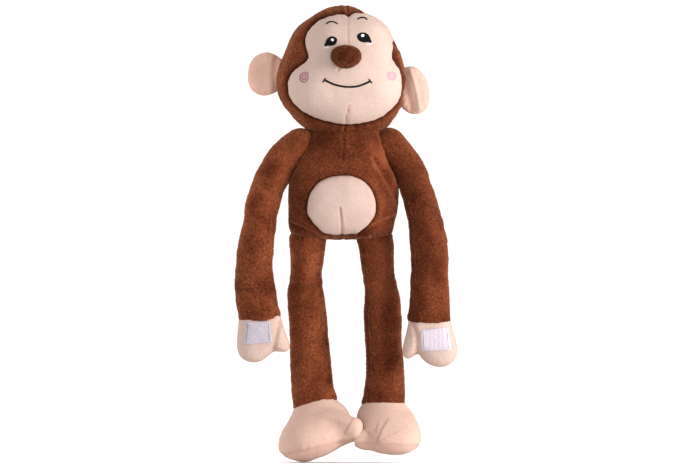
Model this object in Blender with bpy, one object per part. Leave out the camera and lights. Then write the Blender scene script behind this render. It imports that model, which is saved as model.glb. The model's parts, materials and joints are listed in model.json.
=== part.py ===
"""A long-limbed stuffed monkey: covers, panels, fillings and fasteners as separate solids.

The toy hangs upright with its face looking along -Y and its own left side at +X.
Design lengths are in millimetres and become metres when a mesh is made.
Each body has an empty on its joint, and the body's pieces are children of that empty.
"""

import math

import bmesh
import bpy
from mathutils import Matrix, Vector

MM = 0.001

# Walls and clearances
PLUSH = 2.6
VELOUR = 1.8
GAP = 0.35
FILL_GAP = 0.6
THREAD = 0.9
LIMB_SIDES = 12
BODY_SIDES = 24
HAND_SIDES = 16
THUMB_SIDES = 10

# Cutters start this far in front of the toy
AHEAD_OF_FACE = -90.0
AHEAD_OF_BELLY = -60.0

# Joint centres of the torso, the head and the ears
TORSO_CENTRE = Vector((-3, 0, 262))
NECK = Vector((-0.5, 2, 332))
RIGHT_EAR_ROOT = Vector((-70.5, 4, 388))
LEFT_EAR_ROOT = Vector((60.5, 4, 373))

# How each joint end narrows: growth of half-depth per millimetre away from the joint
BALL_TAPER = 0.8
BEND_TAPER = 0.78
TURN_TAPER = 1.5

# A limb segment's rings: the first one, two near each end and two about its middle
FIRST_RING = 2.6
SECOND_RING = 9.0
THIRD_RING = 20.0
MIDDLE_RINGS = (0.42, 0.58)
WIDER_THAN_DEEP = 7.0
SHOULDER_BALL = 7.5
HIP_BALL = 10.0
BALL_CLEARANCE = 0.7

# The gathered neck: rings as (height, radius), and the hole it fills in the covers
NECK_RINGS = ((-6.2, 9), (-4, 13), (0, 15), (4, 13), (6.2, 9))
NECK_HOLE = 19.0
NECK_DEPTH = 0.8
CROWN_SEAM_X = -3.0

# Stations are (x, y, z, half-width, half-depth)
TORSO = [
    (-3, 2, 229, 16, 7),
    (-3, 1, 232, 31, 15),
    (-3, 0, 239, 45, 24),
    (-3, -1, 252, 52.5, 31),
    (-3, -1, 270, 52.5, 33),
    (-3, 0, 290, 47, 30),
    (-2, 0, 308, 39, 25),
    (-1, 1, 319, 31, 20),
    (-0.5, 2, 324.5, 25, 16),
]
HEAD = [
    (-0.5, 2, 339.5, 25, 20),
    (-2, 1, 345, 43, 33),
    (-4.5, 0, 355, 55, 43),
    (-5.5, 0, 368, 61.5, 50),
    (-5.5, 0, 384, 63.5, 52),
    (-5, 0, 402, 59, 51),
    (-4.5, 1, 420, 51.5, 47),
    (-4.5, 2, 436, 41.5, 39),
    (-4.5, 3, 448, 26, 26),
    (-3, 3, 455, 12, 13),
    (-3, 3, 457.5, 4, 5),
]

# Centre lines of the limbs, from the joint at the top to the joint at the bottom
RIGHT_ARM = [
    [(-47, -4, 317, 14, 13), (-61, -5, 305, 14.5, 13.5), (-72, -8, 288, 15.5, 14),
     (-80, -11, 268, 16, 14), (-86.5, -16, 240, 16.5, 14)],
    [(-86.5, -16, 240, 16.5, 14), (-90.5, -20, 214, 17.5, 14), (-92, -23, 190, 18.5, 14),
     (-91, -27, 166, 19.5, 14), (-88, -30, 146, 19.5, 13)],
]
LEFT_ARM = [
    [(42, -4, 317, 14, 13), (54.5, -5, 303, 14, 13.5), (63.5, -8, 286, 14.5, 14),
     (70.5, -11, 266, 15.5, 14), (77, -15, 244, 17, 14)],
    [(77, -15, 244, 17, 14), (81, -19, 222, 18, 14), (82, -23, 198, 18.5, 14),
     (82, -27, 170, 19, 14), (82, -30, 144, 19.5, 13)],
]
RIGHT_LEG = [
    [(-39.5, 5, 221, 16.5, 15), (-41, 5, 200, 15.5, 15), (-41.5, 6, 178, 15.5, 15),
     (-41, 6, 160, 17, 15), (-40, 6, 145, 17.5, 15)],
    [(-40, 6, 145, 17.5, 15), (-38.2, 6, 125, 18.8, 15), (-37, 6, 105, 19.5, 16),
     (-35.5, 6, 84, 20, 17), (-32.5, 6, 60, 21, 18)],
]
LEFT_LEG = [
    [(28, 5, 221, 16, 15), (31, 5, 200, 16, 15), (33.5, 6, 178, 16, 15),
     (35, 6, 160, 17, 15), (36, 6, 145, 18, 15)],
    [(36, 6, 145, 18, 15), (37.5, 6, 125, 18.5, 15), (38, 6, 105, 18.5, 16),
     (38, 6, 84, 18.5, 17), (37, 6, 60, 19.5, 18)],
]

# Hands: the palm runs down from the wrist, and the thumb leaves its inner side
RIGHT_HAND = {
    "palm": [(-88, -30, 141.5, 9, 5), (-88, -31, 137, 17, 9), (-88.5, -33, 128, 20.5, 11),
             (-89.5, -34, 116, 20, 11), (-92, -35, 106, 14.5, 8.5), (-93, -35, 101, 6, 4)],
    "thumb": [(-80, -33, 131, 7, 6), (-72.5, -34, 124, 7, 6.5), (-66, -34, 117.5, 6.2, 6),
              (-63.2, -34, 114.6, 3.5, 3.5)],
    "patch": (-88.5, 132, -3),
}
LEFT_HAND = {
    "palm": [(82.5, -30, 139.5, 9, 5), (84, -31, 135, 17, 9), (87, -33, 126, 20.5, 11),
             (89.5, -34, 114, 20.5, 11), (93, -35, 103, 14, 8.5), (95, -35, 97, 6, 4)],
    "thumb": [(79, -33, 130, 7, 6), (71, -34, 122, 7.5, 6.5), (65.8, -34, 113.5, 6.2, 6),
              (64.6, -34, 110.2, 3.5, 3.5)],
    "patch": (88, 123.5, 4),
}
PATCH_WIDTH = 26.0
PATCH_HEIGHT = 20.0
PATCH_THICK = 1.4

# Feet: main lobe from ankle to sole, and a big toe on the inner side
RIGHT_FOOT = {
    "body": [(-32.5, 6, 57, 10, 8), (-33, 5, 52, 20, 17), (-31.5, 0, 40, 30, 26),
             (-35, -8, 27, 32.5, 34), (-41, -11, 13, 26, 35), (-44, -11, 5, 18, 28),
             (-46, -11, 0.6, 9, 16)],
    "toe": [(-16, -25, 33.5, 12.5, 11), (-7, -29, 34.5, 11, 10.5), (0.5, -31, 35, 8, 8),
            (4.2, -31.5, 35, 4, 4.5)],
    "seam": (Vector((-40, 0, 13)), Vector((-0.22, 0, 1))),
}
LEFT_FOOT = {
    "body": [(37, 6, 57, 10, 8), (37.5, 5, 52, 20, 17), (40.5, 0, 40, 29, 26),
             (43.5, -8, 27, 31, 34), (45, -11, 16, 27.5, 35), (48, -11, 9, 18, 28),
             (48, -11, 6, 9, 16)],
    "toe": [(24, -24, 25, 11.5, 10), (15, -28, 24, 10.5, 9.5), (8.6, -29, 23.5, 7.5, 7.5),
            (5.2, -29.5, 23.5, 4, 4.5)],
    "seam": (Vector((47, 0, 17)), Vector((0.03, 0, 1))),
}

# Nose: centre and radii
NOSE_CENTRE = (-1, -55, 406)
NOSE_RADII = (15.5, 13, 11.5)

# Embroidery in front view: eyes are (centre, width, height, tail) and highlights are points
EYES = {
    "right": ((-15.3, 420.2), 12, 9.5, -7.5),
    "left": ((17, 424.4), 14, 10.5, 8.5),
}
HIGHLIGHTS = {"right": (-14, 422), "left": (16, 426)}
HIGHLIGHT_RADIUS = 1.2
BROWS = {
    "right": ((-20, 438), (-15, 442), (-9, 438.6)),
    "left": ((11, 443.3), (16, 446), (20.5, 442.6)),
}
BROW_WIDTH = 1.4
MOUTH = ((-21.6, 382), (1.6, 374.6), (23, 381))
MOUTH_WIDTH = 1.8
CHEEKS = {
    "right": ((-42.2, 384.8), 5.2, 0.6),
    "left": ((44.8, 386.9), 4.8, 2.4),
}
CHEEK_TURNS = 2
CHEEK_WIDTH = 1.1

# Ears: outlines in front view, and how far each bowl-shaped panel bulges
EARS = {
    "right": [(-72.5, 401), (-80, 408.5), (-91, 408), (-98.5, 397), (-98.5, 383), (-92, 371),
              (-82, 367.5), (-73, 375)],
    "left": [(62.5, 390), (69, 393), (77, 387), (82.5, 373), (80, 357), (74, 349.5), (64.5, 353),
             (62, 366)],
}
EAR_BULGE = 5.0
EAR_INNER_BULGE = 3.2
EAR_INNER_SHARE = 0.9

COLOURS = {
    "brown": (0.19, 0.062, 0.024),
    "peach": (0.78, 0.53, 0.41),
    "filling": (0.88, 0.88, 0.86),
    "black": (0.012, 0.011, 0.012),
    "white": (0.9, 0.9, 0.92),
    "pink": (0.72, 0.22, 0.32),
    "lilac": (0.72, 0.66, 0.78),
}


def material(colour, name):
    """A matte fabric material in one of the toy's colours, one for each piece."""
    made = bpy.data.materials.new(f"{name}_{colour}")
    made.use_nodes = True
    shader = made.node_tree.nodes["Principled BSDF"]
    shader.inputs["Base Color"].default_value = (*COLOURS[colour], 1)
    shader.inputs["Roughness"].default_value = 0.9
    shader.inputs["Metallic"].default_value = 0.0
    return made


def joint(name, position, parent=None):
    """An empty on a joint's axis that carries the pieces of one body."""
    empty = bpy.data.objects.new(name, None)
    bpy.context.scene.collection.objects.link(empty)
    empty.parent = parent
    above = parent["at"] if parent else (0, 0, 0)
    empty["at"] = list(position)
    empty.location = (Vector(position) - Vector(above)) * MM
    return empty


def piece(name, mesh, carrier, colour, round_shape=True):
    """A named sub-part: its mesh is moved onto its body's joint and parented there."""
    mesh.name = name
    mesh.transform(Matrix.Translation(-Vector(carrier["at"]) * MM))
    mesh.materials.clear()
    mesh.materials.append(material(colour, name))
    if round_shape:
        mesh.shade_smooth()
        mesh.set_sharp_from_angle(angle=math.radians(50))
    made = bpy.data.objects.new(name, mesh)
    bpy.context.scene.collection.objects.link(made)
    made.parent = carrier
    return made


def finish_mesh(bm, name):
    """Turns a bmesh in millimetres into a mesh in metres with its faces pointing out."""
    bmesh.ops.recalc_face_normals(bm, faces=bm.faces)
    bm.transform(Matrix.Scale(MM, 4))
    mesh = bpy.data.meshes.new(name)
    bm.to_mesh(mesh)
    bm.free()
    return mesh


def ring(centre, tangent, half_width, half_depth, sides, squareness=2.0):
    """Points of a rounded section across a centre line, wide along X and deep along Y."""
    side = tangent.cross(Vector((0, 1, 0))).normalized()
    depth = side.cross(tangent).normalized()
    points = []
    for k in range(sides):
        turn = 2 * math.pi * (k + 0.5) / sides
        c, s = math.cos(turn), math.sin(turn)
        across = math.copysign(abs(c) ** (2 / squareness), c)
        along = math.copysign(abs(s) ** (2 / squareness), s)
        points.append(centre + side * across * half_width + depth * along * half_depth)
    return points


def rings_of(stations, sides, shrink=0.0, squareness=2.0, level=False):
    """One ring for each station; level rings lie flat, the others follow the centre line."""
    centres = [Vector(s[:3]) for s in stations]
    found = []
    for i, station in enumerate(stations):
        ahead = centres[min(i + 1, len(centres) - 1)]
        behind = centres[max(i - 1, 0)]
        tangent = (ahead - behind).normalized()
        if level:
            tangent = Vector((0, 0, math.copysign(1, tangent.z)))
        half_width = max(station[3] - shrink, 0.8)
        half_depth = max(station[4] - shrink, 0.8)
        found.append(ring(centres[i], tangent, half_width, half_depth, sides, squareness))
    return found


def skin_rings(bm, rings):
    """Makes the vertices of some rings and the walls between them."""
    loops = [[bm.verts.new(p) for p in points] for points in rings]
    count = len(loops[0])
    for low, high in zip(loops, loops[1:]):
        for k in range(count):
            bm.faces.new((low[k], low[(k + 1) % count], high[(k + 1) % count], high[k]))
    return loops


def solid_loft(rings):
    """A closed solid through rings."""
    bm = bmesh.new()
    loops = skin_rings(bm, rings)
    bm.faces.new(loops[0])
    bm.faces.new(loops[-1])
    return finish_mesh(bm, "loft")


def tube_loft(outer, inner):
    """A sleeve that is open at both ends, between an outer and an inner set of rings."""
    bm = bmesh.new()
    outside = skin_rings(bm, outer)
    inside = skin_rings(bm, inner)
    count = len(outside[0])
    for end in (0, -1):
        for k in range(count):
            following = (k + 1) % count
            bm.faces.new((outside[end][k], outside[end][following],
                          inside[end][following], inside[end][k]))
    return finish_mesh(bm, "tube")


def combine(base, tool, operation):
    """A new mesh made of two meshes by a Boolean; both are used up."""
    first = bpy.data.objects.new("base", base)
    second = bpy.data.objects.new("tool", tool)
    for made in (first, second):
        bpy.context.scene.collection.objects.link(made)
    cut = first.modifiers.new("cut", "BOOLEAN")
    cut.operation = operation
    cut.solver = "EXACT"
    cut.object = second
    bpy.context.view_layer.update()
    graph = bpy.context.evaluated_depsgraph_get()
    result = bpy.data.meshes.new_from_object(first.evaluated_get(graph))
    for made in (first, second):
        bpy.data.objects.remove(made)
    bm = bmesh.new()
    bm.from_mesh(result)
    bmesh.ops.remove_doubles(bm, verts=bm.verts, dist=0.02 * MM)
    bmesh.ops.dissolve_degenerate(bm, edges=bm.edges, dist=0.01 * MM)
    bm.to_mesh(result)
    bm.free()
    return result


def prism(outline, front, back):
    """A solid with an (x, z) outline that reaches along Y from front to back."""
    bm = bmesh.new()
    near = [bm.verts.new((x, front, z)) for x, z in outline]
    far = [bm.verts.new((x, back, z)) for x, z in outline]
    bm.faces.new(near)
    bm.faces.new(far)
    count = len(outline)
    for k in range(count):
        following = (k + 1) % count
        bm.faces.new((near[k], near[following], far[following], far[k]))
    return finish_mesh(bm, "prism")


def half_space(point, normal, gap=0.0, reach=500.0):
    """A block that fills the side of a plane its normal points to, starting gap from it."""
    normal = Vector(normal).normalized()
    bm = bmesh.new()
    bmesh.ops.create_cube(bm, size=2 * reach)
    turn = Vector((0, 0, 1)).rotation_difference(normal).to_matrix().to_4x4()
    shift = Matrix.Translation(Vector(point) + normal * (reach + gap))
    bm.transform(shift @ turn)
    return finish_mesh(bm, "half_space")


def round_outline(points, per_span=4):
    """A closed outline through points, with a smooth curve between them."""
    count = len(points)
    found = []
    for i in range(count):
        p = [Vector(points[(i + k) % count]) for k in (-1, 0, 1, 2)]
        for step in range(per_span):
            t = step / per_span
            found.append(0.5 * (2 * p[1] + (p[2] - p[0]) * t
                                + (2 * p[0] - 5 * p[1] + 4 * p[2] - p[3]) * t ** 2
                                + (3 * p[1] - p[0] - 3 * p[2] + p[3]) * t ** 3))
    return [(v.x, v.y) for v in found]


def grown(outline, distance):
    """An outline moved outward along its own normals."""
    area = sum(a[0] * b[1] - b[0] * a[1] for a, b in zip(outline, outline[1:] + outline[:1]))
    way = 1 if area > 0 else -1
    found = []
    for i, point in enumerate(outline):
        before = Vector(outline[i - 1])
        after = Vector(outline[(i + 1) % len(outline)])
        along = (after - before).normalized()
        found.append((point[0] + way * along.y * distance, point[1] - way * along.x * distance))
    return found


def band(line, width):
    """The outline of a band of even width along an open line."""
    left, right = [], []
    for i, point in enumerate(line):
        before = Vector(line[max(i - 1, 0)])
        after = Vector(line[min(i + 1, len(line) - 1)])
        along = (after - before).normalized() * width / 2
        left.append((point[0] - along.y, point[1] + along.x))
        right.append((point[0] + along.y, point[1] - along.x))
    return left + right[::-1]


def scaled_form(stations, shrink):
    """A closed form through level stations, scaled about its middle to be smaller by shrink."""
    lows = [min(s[0] - s[3] for s in stations), min(s[1] - s[4] for s in stations), stations[0][2]]
    highs = [max(s[0] + s[3] for s in stations), max(s[1] + s[4] for s in stations), stations[-1][2]]
    middle = Vector([(a + b) / 2 for a, b in zip(lows, highs)])
    scale = [1 - 2 * shrink / (b - a) for a, b in zip(lows, highs)]
    mesh = solid_loft(rings_of(stations, BODY_SIDES, level=True))
    about = Matrix.Translation(middle * MM)
    mesh.transform(about @ Matrix.Diagonal((*scale, 1)) @ about.inverted())
    return mesh


def head_form(shrink=0.0):
    """The stuffed head as one closed solid, smaller all round by shrink."""
    return scaled_form(HEAD, shrink)


def torso_form(shrink=0.0):
    """The stuffed torso as one closed solid, smaller all round by shrink."""
    return scaled_form(TORSO, shrink)


def neck_hole(radius, low, high):
    """A round cutter that opens the covers at the neck."""
    stations = [(NECK.x, NECK.y, z, radius, radius * NECK_DEPTH) for z in (low, high)]
    return solid_loft(rings_of(stations, LIMB_SIDES, level=True))


def face_outline():
    """The peach face in front view: a notch on top, two lobes, a waist, wide cheeks, a round chin."""
    right_side = [(1.5, 449), (-7, 449), (-24, 444), (-38, 433), (-43, 420), (-41, 405),
                  (-52, 393), (-59.5, 381), (-58, 366), (-48, 353), (-28, 342)]
    left_side = [(-1, 338.5), (24, 342), (44, 354), (54, 369), (55.5, 381), (51, 393),
                 (44.5, 406), (45, 420), (38, 434), (22, 446.5), (9, 450.5)]
    return round_outline(right_side + left_side, 2)


def belly_outline():
    """The peach belly patch in front view: a round arch that narrows to the crotch."""
    arch = []
    for k in range(13):
        turn = math.pi * k / 12
        arch.append((-5.5 + 35.5 * math.cos(turn), 252 + 35 * math.sin(turn)))
    return arch + [(-38, 240), (-22, 222), (11, 222), (27, 240)]


def spiral(centre, radius, turns, start):
    """A flat spiral line that winds in to its centre."""
    steps = 18
    line = []
    for k in range(steps + 1):
        share = k / steps
        reach = radius * (1 - 0.82 * share)
        turn = start + share * turns * 2 * math.pi
        line.append((centre[0] + reach * math.cos(turn), centre[1] + reach * math.sin(turn)))
    return line


def arc(left, low, right, steps):
    """A line through three points on a parabola, for the mouth and the brows."""
    line = []
    for k in range(steps + 1):
        t = k / steps
        a, b, c = (1 - t) * (1 - 2 * t), 4 * t * (1 - t), t * (2 * t - 1)
        line.append((a * left[0] + b * low[0] + c * right[0], a * left[1] + b * low[1] + c * right[1]))
    return line


def eye_outline(centre, width, height, tail):
    """A round eye with a pointed lower outer corner."""
    outline = []
    for k in range(12):
        turn = 2 * math.pi * k / 12
        outline.append((centre[0] + width / 2 * math.cos(turn), centre[1] + height / 2 * math.sin(turn)))
    corner = 10 if tail > 0 else 8
    outline[corner] = (centre[0] + tail, centre[1] - height * 0.42)
    return outline


def on_face(outline, lift, thick):
    """A thin pad with this outline that follows the face, lift above its surface."""
    shell = combine(head_form(-lift - thick), head_form(-lift), "DIFFERENCE")
    return combine(shell, prism(outline, -90, 0), "INTERSECT")


def shell_parts(form, wall):
    """The closed outer form less the inner one: a cover of even wall."""
    return combine(form(0.0), form(wall), "DIFFERENCE")


def build_torso():
    """Front and back panels, the belly patch and the filling."""
    torso = joint("torso", TORSO_CENTRE)
    outline = belly_outline()
    opened = combine(shell_parts(torso_form, PLUSH), neck_hole(NECK_HOLE, 300, 340), "DIFFERENCE")
    front = combine(opened.copy(), half_space((0, -GAP / 2, 0), (0, -1, 0)), "INTERSECT")
    belly = combine(front.copy(), prism(outline, AHEAD_OF_BELLY, 0), "INTERSECT")
    front = combine(front, prism(grown(outline, GAP), AHEAD_OF_BELLY, 5), "DIFFERENCE")
    back = combine(opened, half_space((0, GAP / 2, 0), (0, 1, 0)), "INTERSECT")
    piece("torso_front", front, torso, "brown")
    piece("torso_back", back, torso, "brown")
    piece("belly_patch", belly, torso, "peach")
    piece("torso_filling", torso_form(PLUSH + FILL_GAP), torso, "filling")
    return torso


def build_neck(torso):
    """The gathered, stuffed neck that the head turns on."""
    turning = joint("neck", NECK, torso)
    stations = [(NECK.x, NECK.y, NECK.z + height, radius, radius * NECK_DEPTH)
                for height, radius in NECK_RINGS]
    piece("neck_filling", solid_loft(rings_of(stations, LIMB_SIDES, level=True)), turning, "filling")
    return turning


def build_head(neck):
    """Brown cover halves, the face panel, the nose, the filling and the embroidery."""
    head = joint("head", NECK, neck)
    outline = face_outline()
    opened = combine(shell_parts(head_form, PLUSH), neck_hole(NECK_HOLE, 330, 352), "DIFFERENCE")
    face = combine(opened.copy(), prism(outline, AHEAD_OF_FACE, 0), "INTERSECT")
    cover = combine(opened, prism(grown(outline, GAP), AHEAD_OF_FACE, GAP), "DIFFERENCE")
    right = combine(cover.copy(), half_space((CROWN_SEAM_X - GAP / 2, 0, 0), (-1, 0, 0)), "INTERSECT")
    left = combine(cover, half_space((CROWN_SEAM_X + GAP / 2, 0, 0), (1, 0, 0)), "INTERSECT")
    piece("head_cover_right", right, head, "brown")
    piece("head_cover_left", left, head, "brown")
    piece("face_panel", face, head, "peach")
    piece("head_filling", head_form(PLUSH + FILL_GAP), head, "filling")
    build_nose(head)
    build_embroidery(head)
    return head


def build_nose(head):
    """A stuffed plush ball that sits against the face."""
    bm = bmesh.new()
    bmesh.ops.create_uvsphere(bm, u_segments=14, v_segments=8, radius=1)
    bm.transform(Matrix.Translation(NOSE_CENTRE) @ Matrix.Diagonal((*NOSE_RADII, 1)))
    ball = finish_mesh(bm, "nose")
    piece("nose", combine(ball, head_form(-GAP), "DIFFERENCE"), head, "brown")


def build_embroidery(head):
    """Eyes, highlights, brows, mouth and cheek spirals as raised thread."""
    for side, (centre, width, height, tail) in EYES.items():
        outline = eye_outline(centre, width, height, tail)
        piece(f"{side}_eye", on_face(outline, GAP, THREAD), head, "black")
    for side, (x, z) in HIGHLIGHTS.items():
        turns = [k * math.pi / 4 for k in range(8)]
        dot = [(x + HIGHLIGHT_RADIUS * math.cos(t), z + HIGHLIGHT_RADIUS * math.sin(t)) for t in turns]
        piece(f"{side}_eye_highlight", on_face(dot, THREAD + 2 * GAP, THREAD), head, "white")
    for side, points in BROWS.items():
        line = arc(*points, 6)
        piece(f"{side}_brow", on_face(band(line, BROW_WIDTH), GAP, THREAD), head, "black")
    mouth = arc(*MOUTH, 12)
    piece("mouth", on_face(band(mouth, MOUTH_WIDTH), GAP, THREAD), head, "black")
    for side, (centre, radius, start) in CHEEKS.items():
        line = spiral(centre, radius, CHEEK_TURNS, start)
        piece(f"{side}_cheek_spiral", on_face(band(line, CHEEK_WIDTH), GAP, THREAD), head, "pink")


def ear_panel(outline, centre, depth, way):
    """One bowl-shaped ear panel on the front (way -1) or back (way 1) of the ear's mid-plane."""
    shares = ((1.0, 0.0), (0.94, 0.45), (0.78, 0.8), (0.45, 1.0))
    bm = bmesh.new()
    outer, inner = [], []

    def scaled(share, bulge):
        y = depth + way * (GAP / 2 + bulge)
        return [Vector((centre[0] + (x - centre[0]) * share, y, centre[1] + (z - centre[1]) * share))
                for x, z in outline]

    for share, rise in shares:
        outer.append(scaled(share, rise * EAR_BULGE))
        inner.append(scaled(share * EAR_INNER_SHARE, rise * EAR_INNER_BULGE))
    outside = skin_rings(bm, outer)
    inside = skin_rings(bm, inner)
    bm.faces.new(outside[-1])
    bm.faces.new(inside[-1])
    count = len(outline)
    for k in range(count):
        following = (k + 1) % count
        bm.faces.new((outside[0][k], outside[0][following], inside[0][following], inside[0][k]))
    return finish_mesh(bm, "ear_panel")


def build_ears(head):
    """Two ears, each of a front and a back panel, that fold at their roots."""
    roots = {"right": RIGHT_EAR_ROOT, "left": LEFT_EAR_ROOT}
    for side, root in roots.items():
        ear = joint(f"{side}_ear", root, head)
        outline = round_outline(EARS[side], 2)
        centre = tuple(sum(p[i] for p in outline) / len(outline) for i in (0, 1))
        piece(f"{side}_ear_front", ear_panel(outline, centre, root.y, -1), ear, "peach")
        piece(f"{side}_ear_back", ear_panel(outline, centre, root.y, 1), ear, "peach")


def length_of(stations):
    """The length of a centre line."""
    return sum((Vector(b[:3]) - Vector(a[:3])).length for a, b in zip(stations, stations[1:]))


def station_at(stations, distance):
    """The station at a distance along a centre line."""
    for a, b in zip(stations, stations[1:]):
        span = (Vector(b[:3]) - Vector(a[:3])).length
        if distance <= span or b is stations[-1]:
            share = min(distance / span, 1.0)
            return [x + (y - x) * share for x, y in zip(a, b)]
        distance -= span


def limb_stations(stations, ball, top_taper, bottom_taper):
    """Stations along a limb segment whose ends narrow towards the joints they bend about.

    A segment that hangs from a ball starts outside it and narrows in width too.
    """
    total = length_of(stations)
    start = ball + BALL_CLEARANCE if ball else FIRST_RING
    places = [start, max(start + 3, SECOND_RING), THIRD_RING]
    places += [share * total for share in MIDDLE_RINGS]
    places += [total - THIRD_RING, total - SECOND_RING, total - FIRST_RING]
    found = []
    for place in places:
        x, y, z, half_width, half_depth = station_at(stations, place)
        narrow = min(place * top_taper, (total - place) * bottom_taper)
        wide = narrow if ball and place < total / 2 else narrow + WIDER_THAN_DEEP
        found.append((x, y, z, min(half_width, wide), min(half_depth, narrow)))
    return found


def build_segment(names, stations, carrier, ball, tapers):
    """A sleeve that is open at both ends and the filling inside it."""
    placed = limb_stations(stations, ball, *tapers)
    outer = rings_of(placed, LIMB_SIDES)
    inner = rings_of(placed, LIMB_SIDES, PLUSH)
    core = rings_of(placed, LIMB_SIDES, PLUSH + FILL_GAP)
    piece(names[0], tube_loft(outer, inner), carrier, "brown")
    piece(names[1], solid_loft(core), carrier, "filling")


def build_cap(name, centre, radius, carrier):
    """The gathered head of a sleeve or leg, the small stuffed ball that the limb turns on."""
    bm = bmesh.new()
    bmesh.ops.create_uvsphere(bm, u_segments=12, v_segments=8, radius=radius)
    bm.transform(Matrix.Translation(centre))
    piece(name, finish_mesh(bm, name), carrier, "brown")


def two_lobes(first, second, shrink, squareness):
    """A big and a small closed loft joined into one solid, for a mitten or a foot."""
    def ends_in(stations):
        moved = [list(s) for s in stations]
        for end, other in ((0, 1), (-1, -2)):
            inward = (Vector(stations[other][:3]) - Vector(stations[end][:3])).normalized() * shrink
            moved[end][:3] = list(Vector(stations[end][:3]) + inward)
        return moved

    big = solid_loft(rings_of(ends_in(first), HAND_SIDES, shrink, squareness, level=True))
    small = solid_loft(rings_of(ends_in(second), THUMB_SIDES, shrink))
    return combine(big, small, "UNION")


def build_hand(side, shape, carrier):
    """A palm panel, a back panel, the filling and a flat fastener patch."""
    def form(shrink):
        return two_lobes(shape["palm"], shape["thumb"], shrink, 2.8)

    middle = shape["palm"][2][1]
    shell = shell_parts(form, VELOUR)
    palm = combine(shell.copy(), half_space((0, middle - GAP / 2, 0), (0, -1, 0)), "INTERSECT")
    back = combine(shell, half_space((0, middle + GAP / 2, 0), (0, 1, 0)), "INTERSECT")
    piece(f"{side}_palm_panel", palm, carrier, "peach")
    piece(f"{side}_hand_back_panel", back, carrier, "peach")
    piece(f"{side}_hand_filling", form(VELOUR + FILL_GAP), carrier, "filling")
    front = min(s[1] - s[4] for s in shape["palm"])
    x, z, lean = shape["patch"]
    bm = bmesh.new()
    bmesh.ops.create_cube(bm, size=1)
    turn = Matrix.Rotation(math.radians(-lean), 4, "Y")
    size = Matrix.Diagonal((PATCH_WIDTH, PATCH_THICK, PATCH_HEIGHT, 1))
    place = Matrix.Translation((x, front - GAP - PATCH_THICK / 2, z - PATCH_HEIGHT / 2))
    bm.transform(place @ turn @ size)
    kind = "loop" if side == "right" else "hook"
    piece(f"{side}_palm_{kind}_patch", finish_mesh(bm, "patch"), carrier, "lilac", False)


def build_foot(side, shape, carrier):
    """A foot upper, a sole below the seam and the filling."""
    def form(shrink):
        return two_lobes(shape["body"], shape["toe"], shrink, 2.2)

    point, up = shape["seam"]
    shell = shell_parts(form, VELOUR)
    upper = combine(shell.copy(), half_space(point, up, GAP / 2), "INTERSECT")
    sole = combine(shell, half_space(point, -up, GAP / 2), "INTERSECT")
    piece(f"{side}_foot_upper", upper, carrier, "peach")
    piece(f"{side}_foot_sole", sole, carrier, "peach")
    piece(f"{side}_foot_filling", form(VELOUR + FILL_GAP), carrier, "filling")


def build_arm(side, segments, hand, torso):
    """Sleeve cap, upper arm, forearm and hand, each on its own joint."""
    shoulder, elbow, wrist = segments[0][0][:3], segments[1][0][:3], segments[1][-1][:3]
    cap = joint(f"{side}_shoulder", shoulder, torso)
    build_cap(f"{side}_sleeve_cap", Vector(shoulder), SHOULDER_BALL, cap)
    upper = joint(f"{side}_upper_arm", shoulder, cap)
    names = (f"{side}_upper_sleeve", f"{side}_upper_arm_filling")
    build_segment(names, segments[0], upper, SHOULDER_BALL, (BALL_TAPER, BEND_TAPER))
    lower = joint(f"{side}_forearm", elbow, upper)
    names = (f"{side}_lower_sleeve", f"{side}_forearm_filling")
    build_segment(names, segments[1], lower, 0.0, (BEND_TAPER, TURN_TAPER))
    end = joint(f"{side}_hand", wrist, lower)
    build_hand(side, hand, end)


def build_leg(side, segments, foot, torso):
    """Leg cap, thigh, shin and foot, each on its own joint."""
    hip, knee, ankle = segments[0][0][:3], segments[1][0][:3], segments[1][-1][:3]
    cap = joint(f"{side}_hip", hip, torso)
    build_cap(f"{side}_leg_cap", Vector(hip), HIP_BALL, cap)
    thigh = joint(f"{side}_thigh", hip, cap)
    names = (f"{side}_thigh_cover", f"{side}_thigh_filling")
    build_segment(names, segments[0], thigh, HIP_BALL, (BALL_TAPER, BEND_TAPER))
    shin = joint(f"{side}_shin", knee, thigh)
    names = (f"{side}_shin_cover", f"{side}_shin_filling")
    build_segment(names, segments[1], shin, 0.0, (BEND_TAPER, TURN_TAPER))
    end = joint(f"{side}_foot", ankle, shin)
    build_foot(side, foot, end)


def stand_on_origin(root):
    """Moves the whole toy so that its box is centred on the origin and stands on Z = 0."""
    bpy.context.view_layer.update()
    corners = []
    for made in bpy.data.objects:
        if made.type == "MESH":
            corners += [made.matrix_world @ v.co for v in made.data.vertices]
    low = Vector([min(c[i] for c in corners) for i in range(3)])
    high = Vector([max(c[i] for c in corners) for i in range(3)])
    root.location -= Vector(((low.x + high.x) / 2, (low.y + high.y) / 2, low.z))


def main():
    for old in list(bpy.data.objects):
        bpy.data.objects.remove(old)
    torso = build_torso()
    head = build_head(build_neck(torso))
    build_ears(head)
    build_arm("right", RIGHT_ARM, RIGHT_HAND, torso)
    build_arm("left", LEFT_ARM, LEFT_HAND, torso)
    build_leg("right", RIGHT_LEG, RIGHT_FOOT, torso)
    build_leg("left", LEFT_LEG, LEFT_FOOT, torso)
    stand_on_origin(torso)


main()
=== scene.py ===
"""A stuffed monkey of brown plush and peach velour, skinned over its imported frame.

Shapes are designed in millimetres and move into the frame when a mesh is made.
The face looks along -Y, and left and right are the toy's own: its left is at +X.
"""
import itertools
import json
import math

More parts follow.
